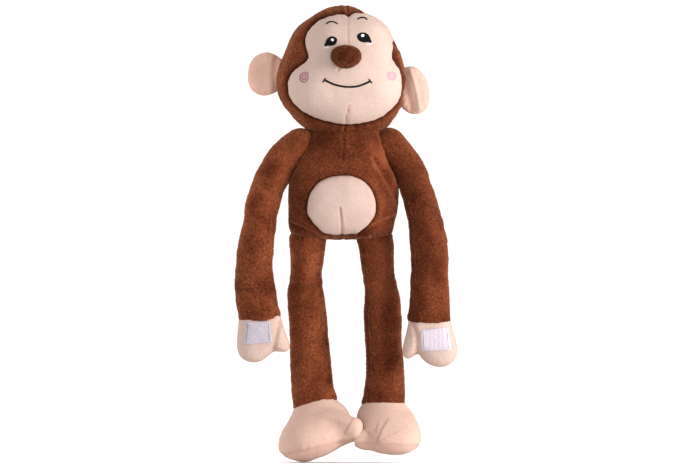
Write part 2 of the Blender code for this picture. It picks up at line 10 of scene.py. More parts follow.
import bpy
import numpy as np
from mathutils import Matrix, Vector

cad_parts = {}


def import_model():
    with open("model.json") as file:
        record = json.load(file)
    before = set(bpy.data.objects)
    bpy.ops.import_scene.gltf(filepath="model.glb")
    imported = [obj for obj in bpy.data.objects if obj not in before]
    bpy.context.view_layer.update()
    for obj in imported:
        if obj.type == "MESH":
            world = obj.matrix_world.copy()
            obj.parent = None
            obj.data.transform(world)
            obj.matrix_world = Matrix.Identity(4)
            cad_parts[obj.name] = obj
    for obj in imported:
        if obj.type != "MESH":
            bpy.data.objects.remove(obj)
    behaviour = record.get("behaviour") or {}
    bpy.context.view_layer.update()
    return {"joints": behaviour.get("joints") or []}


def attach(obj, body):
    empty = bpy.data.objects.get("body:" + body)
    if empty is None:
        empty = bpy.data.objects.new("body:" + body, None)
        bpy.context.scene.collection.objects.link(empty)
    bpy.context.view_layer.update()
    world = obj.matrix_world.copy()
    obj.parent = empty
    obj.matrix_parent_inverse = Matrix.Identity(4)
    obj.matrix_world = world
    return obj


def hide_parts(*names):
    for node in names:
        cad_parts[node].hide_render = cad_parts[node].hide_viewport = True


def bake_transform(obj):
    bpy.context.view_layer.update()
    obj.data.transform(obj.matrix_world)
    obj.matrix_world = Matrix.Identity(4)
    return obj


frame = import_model()

MM = 0.001
JOINTS = {joint["name"]: joint for joint in frame["joints"]}
NECK = np.array((-0.5, 2.0, 332.0))
SHIFT = np.array(JOINTS["neck_turn"]["pos_m"]) - NECK * MM
RNG = np.random.default_rng(7)

# Mesh spacing along and around the skins
STEP = 1.2

# Level forms: rows of (x, y, z, half-width, half-depth) from the top down, and the power of
# their round outline
HEAD = [
    (-1, 3, 455.6, 0.6, 0.6), (-3, 3, 454.4, 9, 9), (-4, 3, 452.4, 15, 14), (-5, 3, 449, 22, 21),
    (-5, 2.5, 445.3, 28.5, 27), (-4.5, 2, 440.6, 35.5, 33), (-4.3, 1.5, 435, 42.5, 38.5),
    (-4.8, 1, 428, 47.5, 43), (-4.5, 0.5, 420, 51.5, 46.5), (-4.2, 0, 412, 55, 49.5),
    (-4.6, 0, 403, 58.5, 51.5), (-5, 0, 394, 61.3, 52.5), (-5.4, 0, 384, 63.3, 52.5),
    (-5.5, 0, 374, 62.8, 51.5), (-5.2, 0, 365, 60.5, 49.5), (-4.2, 0, 357, 57, 46),
    (-3.4, 0.5, 350, 52.5, 41), (-3, 1, 344.5, 48, 36), (-2.4, 1.5, 340, 44, 32),
    (-1.6, 2, 336, 39.5, 28), (-0.5, 2, 332, 35, 24),
], 2.15
TORSO = [
    (-0.5, 2, 332, 35, 24), (-1, 1.5, 327, 37.5, 25), (-1.5, 1, 321, 40.5, 26.5),
    (-2, 0.5, 313, 43.5, 28), (-2.5, 0, 303, 47.5, 31), (-3, 0, 293, 51, 33),
    (-3.2, -0.5, 283, 53, 34.5), (-3.5, -1, 272, 53.3, 35.5), (-3.8, -1, 260, 53.3, 36),
    (-4.2, -1, 249, 52.5, 34), (-5, -0.5, 241, 51.5, 31), (-5.5, 0, 234, 50.3, 27),
    (-5.5, 1, 229, 48, 22), (-6, 2, 226, 43, 16), (-6.5, 2.5, 224.6, 30, 9),
    (-6.5, 2.5, 224, 2, 2),
], 2.4

# Limb rows from the ball at the top down
RIGHT_ARM = [
    (-57, -5, 308, 17.5, 16), (-66, -6, 299, 17, 16), (-74, -8, 287, 16.5, 16),
    (-79.5, -10, 275, 16.2, 16), (-83, -12, 262, 16, 16), (-86, -15, 248, 16, 15.5),
    (-88, -17, 234, 16.4, 15.5), (-90.3, -19, 220, 16.8, 15.5), (-91.7, -21, 205, 17.6, 15.5),
    (-92.3, -23, 190, 18.6, 15.5), (-92, -25, 176, 19.3, 15.5), (-90.8, -28, 162, 19.7, 15),
    (-88.5, -30, 151, 19.6, 14), (-87, -31, 145, 20.2, 13.5), (-86.8, -31, 142.5, 19.6, 12),
]
LEFT_ARM = [
    (50.5, -5, 307, 17, 16), (58, -6, 297.5, 16.4, 16), (64.8, -8, 286, 15.8, 16),
    (69, -10, 274, 15.6, 16), (72.8, -12, 262, 16, 16), (76, -15, 249, 16.6, 15.5),
    (79, -17.5, 236, 17.3, 15), (80.8, -19.8, 222, 17.9, 14.7), (81.9, -21.8, 207, 18, 14.7),
    (82.2, -23.8, 192, 18, 14.7), (82.2, -25.8, 178, 18.4, 14.7), (82.4, -28.8, 163, 19.2, 14.2),
    (82.3, -30.5, 150, 20, 13.5), (82, -31.3, 143.5, 20.6, 13.2), (82.2, -31.3, 140.5, 20, 11.7),
]
RIGHT_LEG = [
    (-39.8, 4, 208, 16, 17), (-41, 4.5, 196, 15.5, 17), (-41.5, 5.5, 184, 15.5, 16.5),
    (-41.5, 6, 172, 16.4, 16), (-41, 6, 158, 18, 16), (-40, 6, 145, 18.3, 16),
    (-39, 6, 132, 18.6, 16), (-37.8, 6, 118, 19.3, 16.5), (-36.7, 6, 104, 19.8, 17),
    (-35.8, 6, 90, 20.2, 17.5), (-34.5, 6, 77, 20.7, 18), (-32.8, 6, 66, 21.5, 18.5),
    (-31.5, 6, 59.5, 22, 18.5), (-31.5, 6, 57, 21, 17),
]
LEFT_LEG = [
    (29.8, 4, 208, 16.3, 17), (31.5, 4.5, 196, 15.8, 17), (32.8, 5.5, 184, 15.7, 16.5),
    (34.3, 6, 172, 16.5, 16), (35.5, 6, 158, 17.6, 16), (36, 6, 145, 18.1, 16),
    (36.5, 6.3, 132, 18.1, 15.8), (37, 6.5, 118, 18, 16), (37.6, 6.5, 104, 18.2, 16.5),
    (38, 6.3, 90, 18.4, 17.2), (38, 6, 77, 19.3, 18), (37.2, 6, 66, 20.3, 18.5),
    (36.5, 6, 60, 21, 18.5), (36.5, 6, 57.5, 20, 17),
]

# Peach outlines in front view, as (x, z)
FACE = [
    (1.5, 446.5), (-3, 449), (-10, 448.5), (-24, 444), (-34, 437), (-41, 428), (-43.3, 418),
    (-41, 405), (-46, 398), (-55, 390.5), (-60, 380), (-58.5, 366), (-51, 355), (-39, 346.5),
    (-22, 339.5), (-0.5, 336), (20, 338.5), (35, 344), (47.5, 354.5), (55, 367), (56.3, 379),
    (55, 391), (51, 398.5), (48, 406), (47.8, 416), (44.6, 428), (38.5, 437.6), (27, 446.5),
    (14.5, 450.5), (6, 450),
]
FACE_MIDDLE = (-1, 392)
BELLY = [
    (-6, 287), (-18, 285.5), (-29, 280), (-37, 270), (-41, 257), (-40, 247), (-34.5, 238.5),
    (-25.5, 230), (-17, 226.3), (-5, 225.3), (5, 226), (13, 229), (22, 237), (28.5, 246),
    (30, 256), (27, 269), (19, 280), (7, 286),
]
BELLY_MIDDLE = (-6, 254)
RIGHT_EAR = [
    (-60, 396), (-68, 405), (-79, 410), (-90, 407), (-96.5, 400), (-99.3, 388), (-98, 377),
    (-93, 370), (-84, 366.5), (-73, 369), (-62, 378),
]
LEFT_EAR = [
    (54, 390), (61, 395.5), (69.5, 394.5), (76, 388.5), (80, 381), (82.3, 372), (82.5, 363),
    (80, 354.5), (74.5, 349.5), (67, 348), (59, 351), (53, 360),
]
RIGHT_HAND = [
    (-88, 152), (-98, 151), (-106.5, 147), (-108.5, 137), (-109.5, 126), (-109.5, 114),
    (-106.5, 106), (-100.5, 101.5), (-93, 100), (-85.5, 101.5), (-79, 106), (-73, 110.5),
    (-66, 110.5), (-60, 111), (-57, 115), (-58, 121), (-61, 129), (-64, 138), (-67, 147),
    (-77, 151),
]
LEFT_HAND = [
    (82, 150), (72, 149), (63, 144), (60.5, 136), (58.5, 127), (56, 117), (55.5, 109), (58, 104.5),
    (62.5, 104), (67.5, 107), (71.5, 108), (75, 103.5), (81, 98.5), (88, 96), (96, 95.5),
    (103, 98.5), (108, 104), (110.3, 112), (109, 121), (106.5, 129), (104, 138), (101.5, 144),
    (92, 149),
]

# Feet: level rows from the ankle down, and rows along the big toe
RIGHT_FOOT = [
    (-32.5, 6, 64, 16, 14), (-32, 5, 58, 22, 18), (-29, 3.5, 52, 26.5, 21),
    (-27.5, 0, 46, 30.5, 25.5), (-27.5, -3, 40, 33.5, 29.5), (-29, -7, 34, 35.5, 33),
    (-31.5, -9.5, 28, 35.5, 35.5), (-35, -11, 22, 33.5, 36), (-38.5, -11.5, 16, 30.5, 35),
    (-42.5, -11.5, 10, 24.8, 31), (-45.5, -11.5, 4, 15.5, 23), (-45.8, -11.5, 1, 7, 10),
    (-45.8, -11.5, 0.6, 1.5, 3),
]
RIGHT_TOE = [
    (-30, -12, 33, 8, 8), (-26, -14, 33.5, 17, 17), (-18, -16, 34, 18.6, 18),
    (-9, -20, 34, 17.3, 17), (-2, -24, 34, 15, 15.5), (4, -27, 33.8, 12.8, 14),
    (9, -29, 33.4, 12.5, 12.8), (13, -30.3, 33, 11.2, 11.5), (15.8, -31, 32.6, 8, 8.4),
    (17.3, -31.4, 32.4, 3, 3),
]
LEFT_FOOT = [
    (36.5, 6, 64, 16, 14), (36.3, 5, 58, 22, 18), (37, 3.5, 52, 26, 21),
    (38.7, 0, 46, 29.3, 25.5), (40.2, -3, 40, 30.8, 29.5), (42, -7, 34, 31, 33),
    (43.5, -9.5, 28, 31.3, 35.5), (43, -11, 22, 32, 36), (44.5, -11.5, 16, 27.5, 33),
    (48, -11.5, 10.5, 16.5, 26), (49, -11.5, 8, 8, 15), (49, -11.5, 7.4, 1.5, 3),
]
LEFT_TOE = [
    (44, -18, 28, 6, 6), (36, -20, 27.5, 14, 13), (26, -24, 25.5, 12.5, 12),
    (18, -27.5, 23.5, 10.5, 10.5), (12, -29.5, 22.5, 9.2, 9.5), (7.5, -30.5, 22, 7, 7),
    (4.8, -31, 21.7, 3.8, 3.8), (4, -31.2, 21.6, 1.5, 1.5),
]

# Plush tufts: how far they stand out and hang, how much they tilt, and the painted shade at their
# roots between them
PILE_RISE = 0.8
PILE_HANG = 0.35
PILE_TILT = 0.22
PILE_ROOT = 0.25


# ---- shapes from numbers

CURVE_STEPS = 12
HASH = (73856093, 19349663, 83492791), 9176537, 1274126177


def noise(points, size, seed):
    """Smooth values from -1 to 1, with lumps of about size millimetres."""
    scaled = np.asarray(points) / size
    cell = np.floor(scaled).astype(np.int64)
    part = scaled - cell
    part = part * part * (3 - 2 * part)
    total = 0.0
    for corner in itertools.product((0, 1), repeat=3):
        key = ((cell + corner) * HASH[0]).sum(axis=-1) + seed * HASH[1]
        key = (key ^ (key >> 13)) * HASH[2]
        value = ((key ^ (key >> 16)) & 0xFFFF) / 32767.5 - 1
        total = total + value * np.prod(np.where(corner, part, 1 - part), axis=-1)
    return total


def uneven(points, layers):
    """The sum of noise layers, as (height, size, seed)."""
    return sum(height * noise(points, size, seed) for height, size, seed in layers)


def unit(vectors):
    """Vectors with a length of one."""
    return vectors / np.maximum(np.linalg.norm(vectors, axis=-1, keepdims=True), 1e-9)


def circle(count):
    """Equally spaced angles round a circle."""
    return np.linspace(0, 2 * math.pi, count, endpoint=False)


def travelled(points):
    """The distance along a line at each point."""
    return np.r_[0, np.cumsum(np.linalg.norm(np.diff(points, axis=0), axis=1))]


def smooth_rows(rows, step=STEP, closed=False):
    """Rows on a smooth curve through the given ones, about step apart."""
    rows = np.asarray(rows, float)
    if closed:
        padded = np.vstack([rows[-1:], rows, rows[:2]])
    else:
        padded = np.vstack([2 * rows[:1] - rows[1:2], rows, 2 * rows[-1:] - rows[-2:-1]])
    t = np.linspace(0, 1, CURVE_STEPS, endpoint=False)[:, None]
    spans = []
    for a, b, c, d in zip(padded, padded[1:], padded[2:], padded[3:]):
        spans.append(0.5 * (2 * b + (c - a) * t + (2 * a - 5 * b + 4 * c - d) * t ** 2
                            + (3 * b - a - 3 * c + d) * t ** 3))
    fine = np.vstack(spans + [rows[:1] if closed else rows[-1:]])
    gone = travelled(fine[:, :4])
    count = max(int(round(gone[-1] / step)), 4)
    places = np.linspace(0, gone[-1], count + 1)[:count if closed else count + 1]
    return np.column_stack([np.interp(places, gone, column) for column in fine.T])


def rings(rows, level=False, power=2.0):
    """A grid of points round a tube, from rows of its middle and half-sizes."""
    centre = rows[:, :3]
    along = np.gradient(centre, axis=0)
    if level:
        along = np.tile((0.0, 0.0, -1.0), (len(rows), 1))
    along = unit(along)
    side = unit(np.cross(along, (0.0, 1.0, 0.0)))
    depth = np.cross(side, along)
    turn = circle(int(2 * math.pi * rows[:, 3:].max() / STEP)) + math.pi / 2
    ways = np.cos(turn), np.sin(turn)
    across, back = (np.sign(way) * np.abs(way) ** (2 / power) for way in ways)
    half_width, half_depth = rows[:, 3, None, None], rows[:, 4, None, None]
    return (centre[:, None] + side[:, None] * across[:, None] * half_width
            + depth[:, None] * back[:, None] * half_depth)


def grid_normals(grid):
    """Outward normals of a ring grid."""
    down = np.gradient(grid, axis=0)
    round_it = np.roll(grid, -1, axis=1) - np.roll(grid, 1, axis=1)
    return unit(np.cross(down, round_it))


def front_facing(normals, row):
    """Normals turned so that those of one row look to the front."""
    return -normals if normals[row, :, 1].mean() > 0 else normals


def grid_quads(count, sides, start=0, closed=True):
    """The faces of a grid, closed into rings or an open sheet."""
    i = np.arange(count - 1)[:, None] * sides
    k = np.arange(sides if closed else sides - 1)[None]
    following = (k + 1) % sides
    quads = np.stack([i + k, i + sides + k, i + sides + following, i + following], axis=-1)
    return quads.reshape(-1, 4) + start


def distance_to(x, z, line, closed):
    """The distance of points in front view to a line."""
    line = np.asarray(line, float)
    ends = np.roll(line, -1, axis=0) if closed else line[1:]
    starts = line if closed else line[:-1]
    best = np.full(np.shape(x), 1e9)
    for (ax, az), (bx, bz) in zip(starts, ends):
        dx, dz = bx - ax, bz - az
        share = np.clip(((x - ax) * dx + (z - az) * dz) / (dx * dx + dz * dz + 1e-9), 0, 1)
        best = np.minimum(best, np.hypot(x - ax - share * dx, z - az - share * dz))
    return best


def inset(x, z, outline):
    """How far inside an outline points are in front view."""
    inside = np.zeros(np.shape(x), bool)
    for (ax, az), (bx, bz) in zip(outline, np.roll(outline, -1, axis=0)):
        crosses = (az > z) != (bz > z)
        inside ^= crosses & (x < (bx - ax) * (z - az) / (bz - az + 1e-12) + ax)
    return np.where(inside, 1, -1) * distance_to(x, z, outline, True)


def groove(x, z, line, width):
    """How close points are to a line in front view, from 1 on it down to 0."""
    return np.exp(-(distance_to(x, z, line, False) / width) ** 2)


def fold(points, line, depth, width, lip=0.5):
    """A crease along a line in front view, with a soft lip on each side."""
    gap = distance_to(points[..., 0], points[..., 2], line, False) / width
    return depth * (lip * np.exp(-(gap - 2) ** 2) - np.exp(-gap ** 2))


def folds_of(points, folds):
    """The sum of creases, each given as fold takes it."""
    return sum(fold(points, *each) for each in folds)


def spot(x, z, middle_x, middle_z, reach_x, reach_z):
    """A soft round place in front view, from 1 at its middle down to 0."""
    return np.exp(-((x - middle_x) / reach_x) ** 2 - ((z - middle_z) / reach_z) ** 2)


def fan(line, middle, shares):
    """Front-view places on rings at shares of the way from a middle out to a line."""
    flat = middle + (line - middle) * shares[:, None, None]
    return flat[..., 0], flat[..., 1]


# ---- surfaces

# An end ring smaller than this is closed over
PINHOLE = 5.0


def outward(faces, points, normals):
    """Faces turned to look the way that their normals do."""
    corners = points[faces]
    facing = np.cross(corners[:, 2] - corners[:, 0], corners[:, -1] - corners[:, 1])
    return faces[:, ::-1] if (facing * normals[faces[:, 0]]).sum() < 0 else faces


class Surface:
    """Points, normals and faces in design millimetres, and how much painted shade each point has.
    """

    def __init__(self, points, normals, quads, accent=None):
        self.points = points.reshape(-1, 3)
        self.normals = normals.reshape(-1, 3)
        self.quads = outward(quads, self.points, self.normals)
        self.accent = np.zeros(len(self.points)) if accent is None else np.ravel(accent)
        self.tuft = np.full(len(self.points), 0.2)
        self.caps = np.zeros((0, 3), int)


def tube(grid, normals, accent=None):
    """The surface of a ring grid, closed over wherever an end ring is a pinhole."""
    count, sides = grid.shape[:2]
    made = Surface(grid, normals, grid_quads(count, sides), accent)
    k = np.arange(1, sides - 1)
    for first in (0, (count - 1) * sides):
        if np.ptp(made.points[first:first + sides], axis=0).max() > PINHOLE:
            continue
        cap = np.stack([0 * k, k, k + 1], axis=-1) + first
        made.caps = np.vstack([made.caps, outward(cap, made.points, made.normals)])
    return made


def grow_pile(surface, rise=PILE_RISE, bare=False, painted_sheen=1.0):
    """Roughens a surface with tufts that stand out and hang a little, painted lighter the further
    they stand out.
    """
    count = len(surface.points)
    stand = np.where(bare, 0.0, RNG.random(count))
    tilt = RNG.normal(size=(count, 3)) * PILE_TILT
    # Painted light: tufts that stand out further are painted lighter, as painted highlight on the
    # tips and painted shade at the roots, times the painted sheen
    surface.tuft = (PILE_ROOT + (1 - PILE_ROOT) * stand) * painted_sheen
    surface.points = surface.points + surface.normals * (rise * stand)[:, None]
    surface.points[:, 2] -= PILE_HANG * stand
    surface.normals = unit(surface.normals + tilt)
    return surface


def world(point):
    """A design point in the frame."""
    return tuple(np.asarray(point, float) * MM + SHIFT)


def link_in(name, content):
    """A new object in the scene."""
    made = bpy.data.objects.new(name, content)
    bpy.context.scene.collection.objects.link(made)
    return made


def mesh_object(name, points, faces):
    """A new mesh object in the scene."""
    mesh = bpy.data.meshes.new(name)
    mesh.from_pydata(points.tolist(), [], faces)
    return link_in(name, mesh)


def build(name, surface, finish, body, hides=(), bend=None):
    """A mesh object that hides CAD nodes and rides a body; given a bend, it stays fixed in the
    frame instead.

    bend is (another body, design point where the bend towards it starts, where it ends); only
    whether it is given is used, and no bend is made.
    """
    material, slot = finish
    places = surface.points * MM + SHIFT
    made = mesh_object(name, places, surface.quads.tolist() + surface.caps.tolist())
    mesh = made.data
    mesh.polygons.foreach_set("use_smooth", np.ones(len(mesh.polygons), bool))
    mesh.normals_split_custom_set_from_vertices(surface.normals.tolist())
    rest = mesh.attributes.new("rest_pos", "FLOAT_VECTOR", "POINT")
    rest.data.foreach_set("vector", places.astype(np.float32).ravel())
    # Each point's painted shade and its painted pile highlight (the tuft value) are stored for the
    # material
    for label, values in (("accent", surface.accent), ("tuft", surface.tuft)):
        stored = mesh.attributes.new(label, "FLOAT", "POINT")
        stored.data.foreach_set("value", values.astype(np.float32))
    mesh.materials.append(material)
    if hides:
        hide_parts(*hides)
    if bend is None:
        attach(made, body)
    else:
        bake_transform(made)


# ---- materials

class Nodes:
    """Adds and joins shader nodes in one material."""

    def __init__(self, name):
        self.material = bpy.data.materials.new(name)
        self.material.use_nodes = True
        self.tree = self.material.node_tree
        self.shader = self.tree.nodes["Principled BSDF"]

    def feed(self, socket, value):
        """Links a socket to another, or sets its value."""
        if isinstance(value, bpy.types.NodeSocket):
            self.tree.links.new(value, socket)
        else:
            socket.default_value = (*value, 1) if socket.type == "RGBA" else value

    def add(self, kind, inputs, output=0, **properties):
        """The output of a new node; inputs are fed by place or name."""
        node = self.tree.nodes.new(kind)
        for key, value in properties.items():
            setattr(node, key, value)
        for key, value in inputs.items():
            self.feed(node.inputs[key], value)
        return node.outputs[output]

    def shade(self, inputs):
        for key, value in inputs.items():
            self.feed(self.shader.inputs[key], value)

    def attribute(self, name, output="Fac"):
        return self.add("ShaderNodeAttribute", {}, output, attribute_name=name)

    def texture(self, size, detail=2.0, squash=(1, 1, 1), roughness=0.5):
        """Noise with lumps of about size millimetres, fixed to the fabric."""
        place = self.attribute("rest_pos", "Vector")
        scale = [1 / (size * MM * k) for k in squash]
        place = self.add("ShaderNodeVectorMath", {0: place, 1: scale}, operation="MULTIPLY")
        return self.add("ShaderNodeTexNoise", {"Vector": place, "Scale": 1.0, "Detail": detail,
                                               "Roughness": roughness})

    def bands(self, size, distortion, direction, detail_scale=1.0):
        """Soft parallel bands, fixed to the fabric."""
        inputs = {"Vector": self.attribute("rest_pos", "Vector"), "Scale": 1 / (size * MM),
                  "Distortion": distortion, "Detail Scale": detail_scale}
        return self.add("ShaderNodeTexWave", inputs, "Fac", bands_direction=direction)

    def ramp(self, source, low, high, start=0.3, end=0.7):
        """A colour that runs from low to high as source goes from start to end."""
        ramp = self.tree.nodes.new("ShaderNodeValToRGB")
        for element, place, colour in zip(ramp.color_ramp.elements, (start, end), (low, high)):
            element.position = place
            element.color = (*colour, 1)
        self.feed(ramp.inputs[0], source)
        return ramp.outputs[0]

    def mix(self, factor, first, second, mode="MIX"):
        """Two colours mixed by a factor."""
        return self.add("ShaderNodeMix", {0: factor, 6: first, 7: second}, 2, data_type="RGBA",
                        blend_type=mode)

    def total(self, first, second, share=1.0):
        """A share of the first value, plus the second."""
        inputs = {0: first, 1: share, 2: second}
        return self.add("ShaderNodeMath", inputs, operation="MULTIPLY_ADD")

    def bump(self, height, strength, distance):
        inputs = {"Height": height, "Strength": strength, "Distance": distance * MM}
        self.shade({"Normal": self.add("ShaderNodeBump", inputs)})


def fabric(name, dark, light, accent, patch, streak, sheen, tint, bump, tufts=None):
    """A napped cloth, with patches of a size where the nap lies after brushing, streaks of a
    strength, and tufts as the colours of the painted shade at the root and the painted highlight at
    the tip of the pile."""
    n = Nodes(name)
    patches = n.ramp(n.texture(patch, 1.0, (1, 1, 1.3), 0.4), dark, light)
    streaks = n.texture(1.6, 2.0, (1.4, 1.4, 1), 0.5)
    shade = n.ramp(streaks, (1 - streak,) * 3, (1 + streak,) * 3, 0.3, 0.72)
    colour = n.mix(1.0, patches, shade, "MULTIPLY")
    # Painted shade at the roots and painted highlight at the tips of the pile, from the tuft value
    if tufts:
        colour = n.mix(1.0, colour, n.ramp(n.attribute("tuft"), *tufts, 0.0, 1.0), "MULTIPLY")
    n.bump(n.total(streaks, n.texture(0.9, 4.0, (1, 1, 1.6), 0.7), 1.4), bump, 1.0)
    # Painted shade: a darker colour is mixed in by each point's painted shade value, in seams,
    # creases and hollows
    n.shade({"Base Color": n.mix(n.attribute("accent"), colour, accent), "Roughness": 0.95,
             "Specular IOR Level": 0.05, "Sheen Weight": sheen, "Sheen Roughness": 0.45,
             "Sheen Tint": tint})
    return n.material


def velour(name, dark, light, accent, patch):
    """Peach cloth with a short even nap, and the slot that it is in."""
    cloth = fabric(name, dark, light, accent, patch, 0.06, 0.1, (1.0, 0.9, 0.84), 0.22)
    return cloth, "peach_velour"


def thread(name, dark, light, slot=None, gloss=0.2):
    """Satin-stitched thread: fine parallel strands with a soft gloss."""
    n = Nodes(name)
    strands = n.bands(2.4, 0.6, "DIAGONAL")
    n.bump(strands, 0.5, 0.3)
    n.shade({"Base Color": n.ramp(strands, dark, light, 0.1, 0.9), "Roughness": 0.5,
             "Specular IOR Level": gloss})
    return n.material, slot or name


def tape(name, ribbed, low, high):
    """Fastener tape: loops raised by brushing, or rows of small hooks."""
    n = Nodes(name)
    if ribbed:
        height = n.total(n.bands(4.2, 1.5, "X", 3.0), n.texture(0.6, 3.0))
    else:
        height = n.total(n.texture(1.4, 4.0, (1, 1, 1), 0.75), n.texture(0.5, 2.0))
    n.bump(height, 0.7, 0.6)
    n.shade({"Base Color": n.ramp(height, low, high, 0.3, 1.0), "Roughness": 0.8,
             "Specular IOR Level": 0.1})
    return n.material, "fastener_tape"


# Each finish is a material and its slot
# Each cloth's third colour is its painted shade; the browns' last pair is the painted shade at the
# pile's roots and the painted highlight at its tips
PLUSH_TINT = (1.0, 0.42, 0.22)
BROWN = fabric(
    "brown_plush", (0.046, 0.0085, 0.0026), (0.102, 0.0235, 0.0080), (0.012, 0.0024, 0.0008),
    24, 0.28, 0.3, PLUSH_TINT, 0.25, ((0.5, 0.44, 0.38), (1.75, 1.95, 2.2))), "brown_plush"
NOSE_BROWN = fabric(
    "nose_plush", (0.026, 0.0052, 0.0017), (0.058, 0.0135, 0.0048), (0.012, 0.0035, 0.0016),
    6, 0.4, 0.2, PLUSH_TINT, 0.6, ((0.6, 0.55, 0.5), (1.7, 1.7, 1.7))), "brown_plush"
PEACH = velour("peach_velour", (0.405, 0.295, 0.25), (0.435, 0.32, 0.275), (0.30, 0.13, 0.085), 30)
WARM_PEACH = velour(
    "warm_peach_velour", (0.44, 0.285, 0.23), (0.485, 0.32, 0.262), (0.38, 0.17, 0.105), 26)
# Painted light: a lighter copy of the peach for the right ear
LIT_PEACH = velour(
    "lit_peach_velour", (0.54, 0.34, 0.27), (0.63, 0.41, 0.335), (0.46, 0.20, 0.13), 20)
BLACK_THREAD = thread("black_thread", (0.002, 0.002, 0.003), (0.006, 0.006, 0.007), gloss=0.05)
WHITE_THREAD = thread("white_thread", (0.62, 0.60, 0.68), (0.80, 0.79, 0.86))
PINK_THREAD = thread("pink_thread", (0.52, 0.13, 0.20), (0.64, 0.21, 0.29))
TAPE_THREAD = thread("tape_thread", (0.40, 0.345, 0.40), (0.55, 0.49, 0.54), "white_thread")
# Painted shade: a darker copy of the pink thread for the right cheek, the side away from the key
# light
SHADED_PINK_THREAD = thread("shaded_pink_thread", (0.26, 0.07, 0.11), (0.36, 0.11, 0.16), "pink_thread")
LOOP_TAPE = tape("loop_tape", False, (0.30, 0.26, 0.295), (0.38, 0.335, 0.375))
HOOK_TAPE = tape("hook_tape", True, (0.40, 0.34, 0.395), (0.54, 0.47, 0.525))


# ---- panels in plush

FACE_LINE = smooth_rows(FACE, 2.5, closed=True)
BELLY_LINE = smooth_rows(BELLY, 2.5, closed=True)

# How far a stuffed edge takes to rise, and how far gathers reach from it
EDGE_FADE = 4.0
GATHER_FADE = 5.0
# Depth and width of the sewn groove, in a panel and in the plush beside it
PANEL_SINK, PANEL_SINK_WIDTH, PANEL_TUCK = 1.8, 1.8, 0.8
COVER_SINK, COVER_SINK_WIDTH = 1.5, 1.7
# Normals with less than this along Y belong to the front
FRONT = 0.15
FAR_OUTSIDE = -60
# How far a cover takes to go plain where it meets the neck
PLAIN_OVER = 10


def front_of(form, x, z):
    """Points on a level form's front at places in front view, and their normals."""
    rows, power = form
    table = smooth_rows(rows, 1.0)
    table = table[np.argsort(table[:, 2])]

    def depth(at_x, at_z):
        cx, cy, a, b = (np.interp(at_z, table[:, 2], table[:, i]) for i in (0, 1, 3, 4))
        share = np.clip(np.abs((at_x - cx) / a), 0, 0.995)
        return cy - b * (1 - share ** power) ** (1 / power)

    y = depth(x, z)
    slope_x = depth(x + 0.5, z) - depth(x - 0.5, z)
    slope_z = depth(x, z + 0.5) - depth(x, z - 0.5)
    return np.dstack([x, y, z]), unit(np.dstack([slope_x, -np.ones_like(y), slope_z]))


def panel_lift(gap, puff):
    """The surface of a peach panel: full inside, sunk at its sewn edge."""
    return (puff * (1 - np.exp(-gap / EDGE_FADE)) - PANEL_TUCK * (gap < 0.01)
            - PANEL_SINK * np.exp(-(gap / PANEL_SINK_WIDTH) ** 2))


def cover_lift(gap, puff):
    """The plush beside a panel: full outside, and sunk below the panel inside."""
    sink = COVER_SINK * np.exp(-(gap / COVER_SINK_WIDTH) ** 2)
    outside = puff * (1 - np.exp(gap / EDGE_FADE)) - sink
    return np.where(gap < 0, outside, -COVER_SINK - np.minimum(gap, 4))


def puckers(gap, outline, points, pitch, depth):
    """Small gathers that fade away from a sewn edge."""
    x, z = points[..., 0], points[..., 2]
    angle = np.arctan2(z - outline[:, 1].mean(), x - outline[:, 0].mean())
    reach = 0.5 * (outline.max(axis=0) - outline.min(axis=0)).mean()
    wave = np.sin(angle * 2 * math.pi * reach / pitch + 2.5 * noise(points, 14, 9))
    return depth * wave * np.exp(-np.abs(gap) / GATHER_FADE)


def panel(line, middle, form, relief, puff, gathers, darts):
    """A peach panel: a fan of rings inside its sewn line, laid on a level form's front.

    gathers is their pitch and depth; darts are (line, width, strength) of the shade in them.
    """
    reach = np.linalg.norm(line - middle, axis=1).mean()
    x, z = fan(line, middle, np.r_[np.linspace(0.004, 1, int(reach / STEP) + 2), 1.0])
    grid, normals = front_of(form, x, z)
    gap = np.maximum(distance_to(x, z, line, True), 0)
    lift = relief(grid, normals) + panel_lift(gap, puff) + puckers(gap, line, grid, *gathers)
    # Painted shade along the sunk sewn edge and in the darts
    accent = 0.35 * np.exp(-gap / 3.0)
    accent += sum(strength * groove(x, z, dart, width) for dart, width, strength in darts)
    lift[-1] -= 3.0
    grid = grid + normals * lift[..., None]
    return tube(grid, front_facing(grid_normals(grid), len(grid) // 2), np.clip(accent, 0, 1))


def cover(line, form, relief, puff, gathers, shade, plain_above=1000):
    """The plush surface of a level form, sunk and with painted shade in the seam beside the panel
    that is let into it, and which of its points the panel hides."""
    rows, power = form
    grid = rings(smooth_rows(rows), level=True, power=power)
    normals = grid_normals(grid)
    inside = inset(grid[..., 0], grid[..., 2], line)
    gap = np.where(normals[..., 1] < FRONT, inside, FAR_OUTSIDE)
    lift = relief(grid, normals) + cover_lift(gap, puff) + puckers(gap, line, grid, *gathers)
    lift *= 1 - np.clip((grid[..., 2] - plain_above) / PLAIN_OVER, 0, 1)
    grid = grid + normals * lift[..., None]
    # Painted shade in the sunk seam where the panel is let in
    surface = tube(grid, grid_normals(grid), np.clip(1 - np.abs(gap) / 2.0, 0, 1) * shade)
    inside = inset(surface.points[:, 0], surface.points[:, 2], line)
    return surface, (surface.normals[:, 1] < FRONT) & (inside > -0.3)


# ---- head

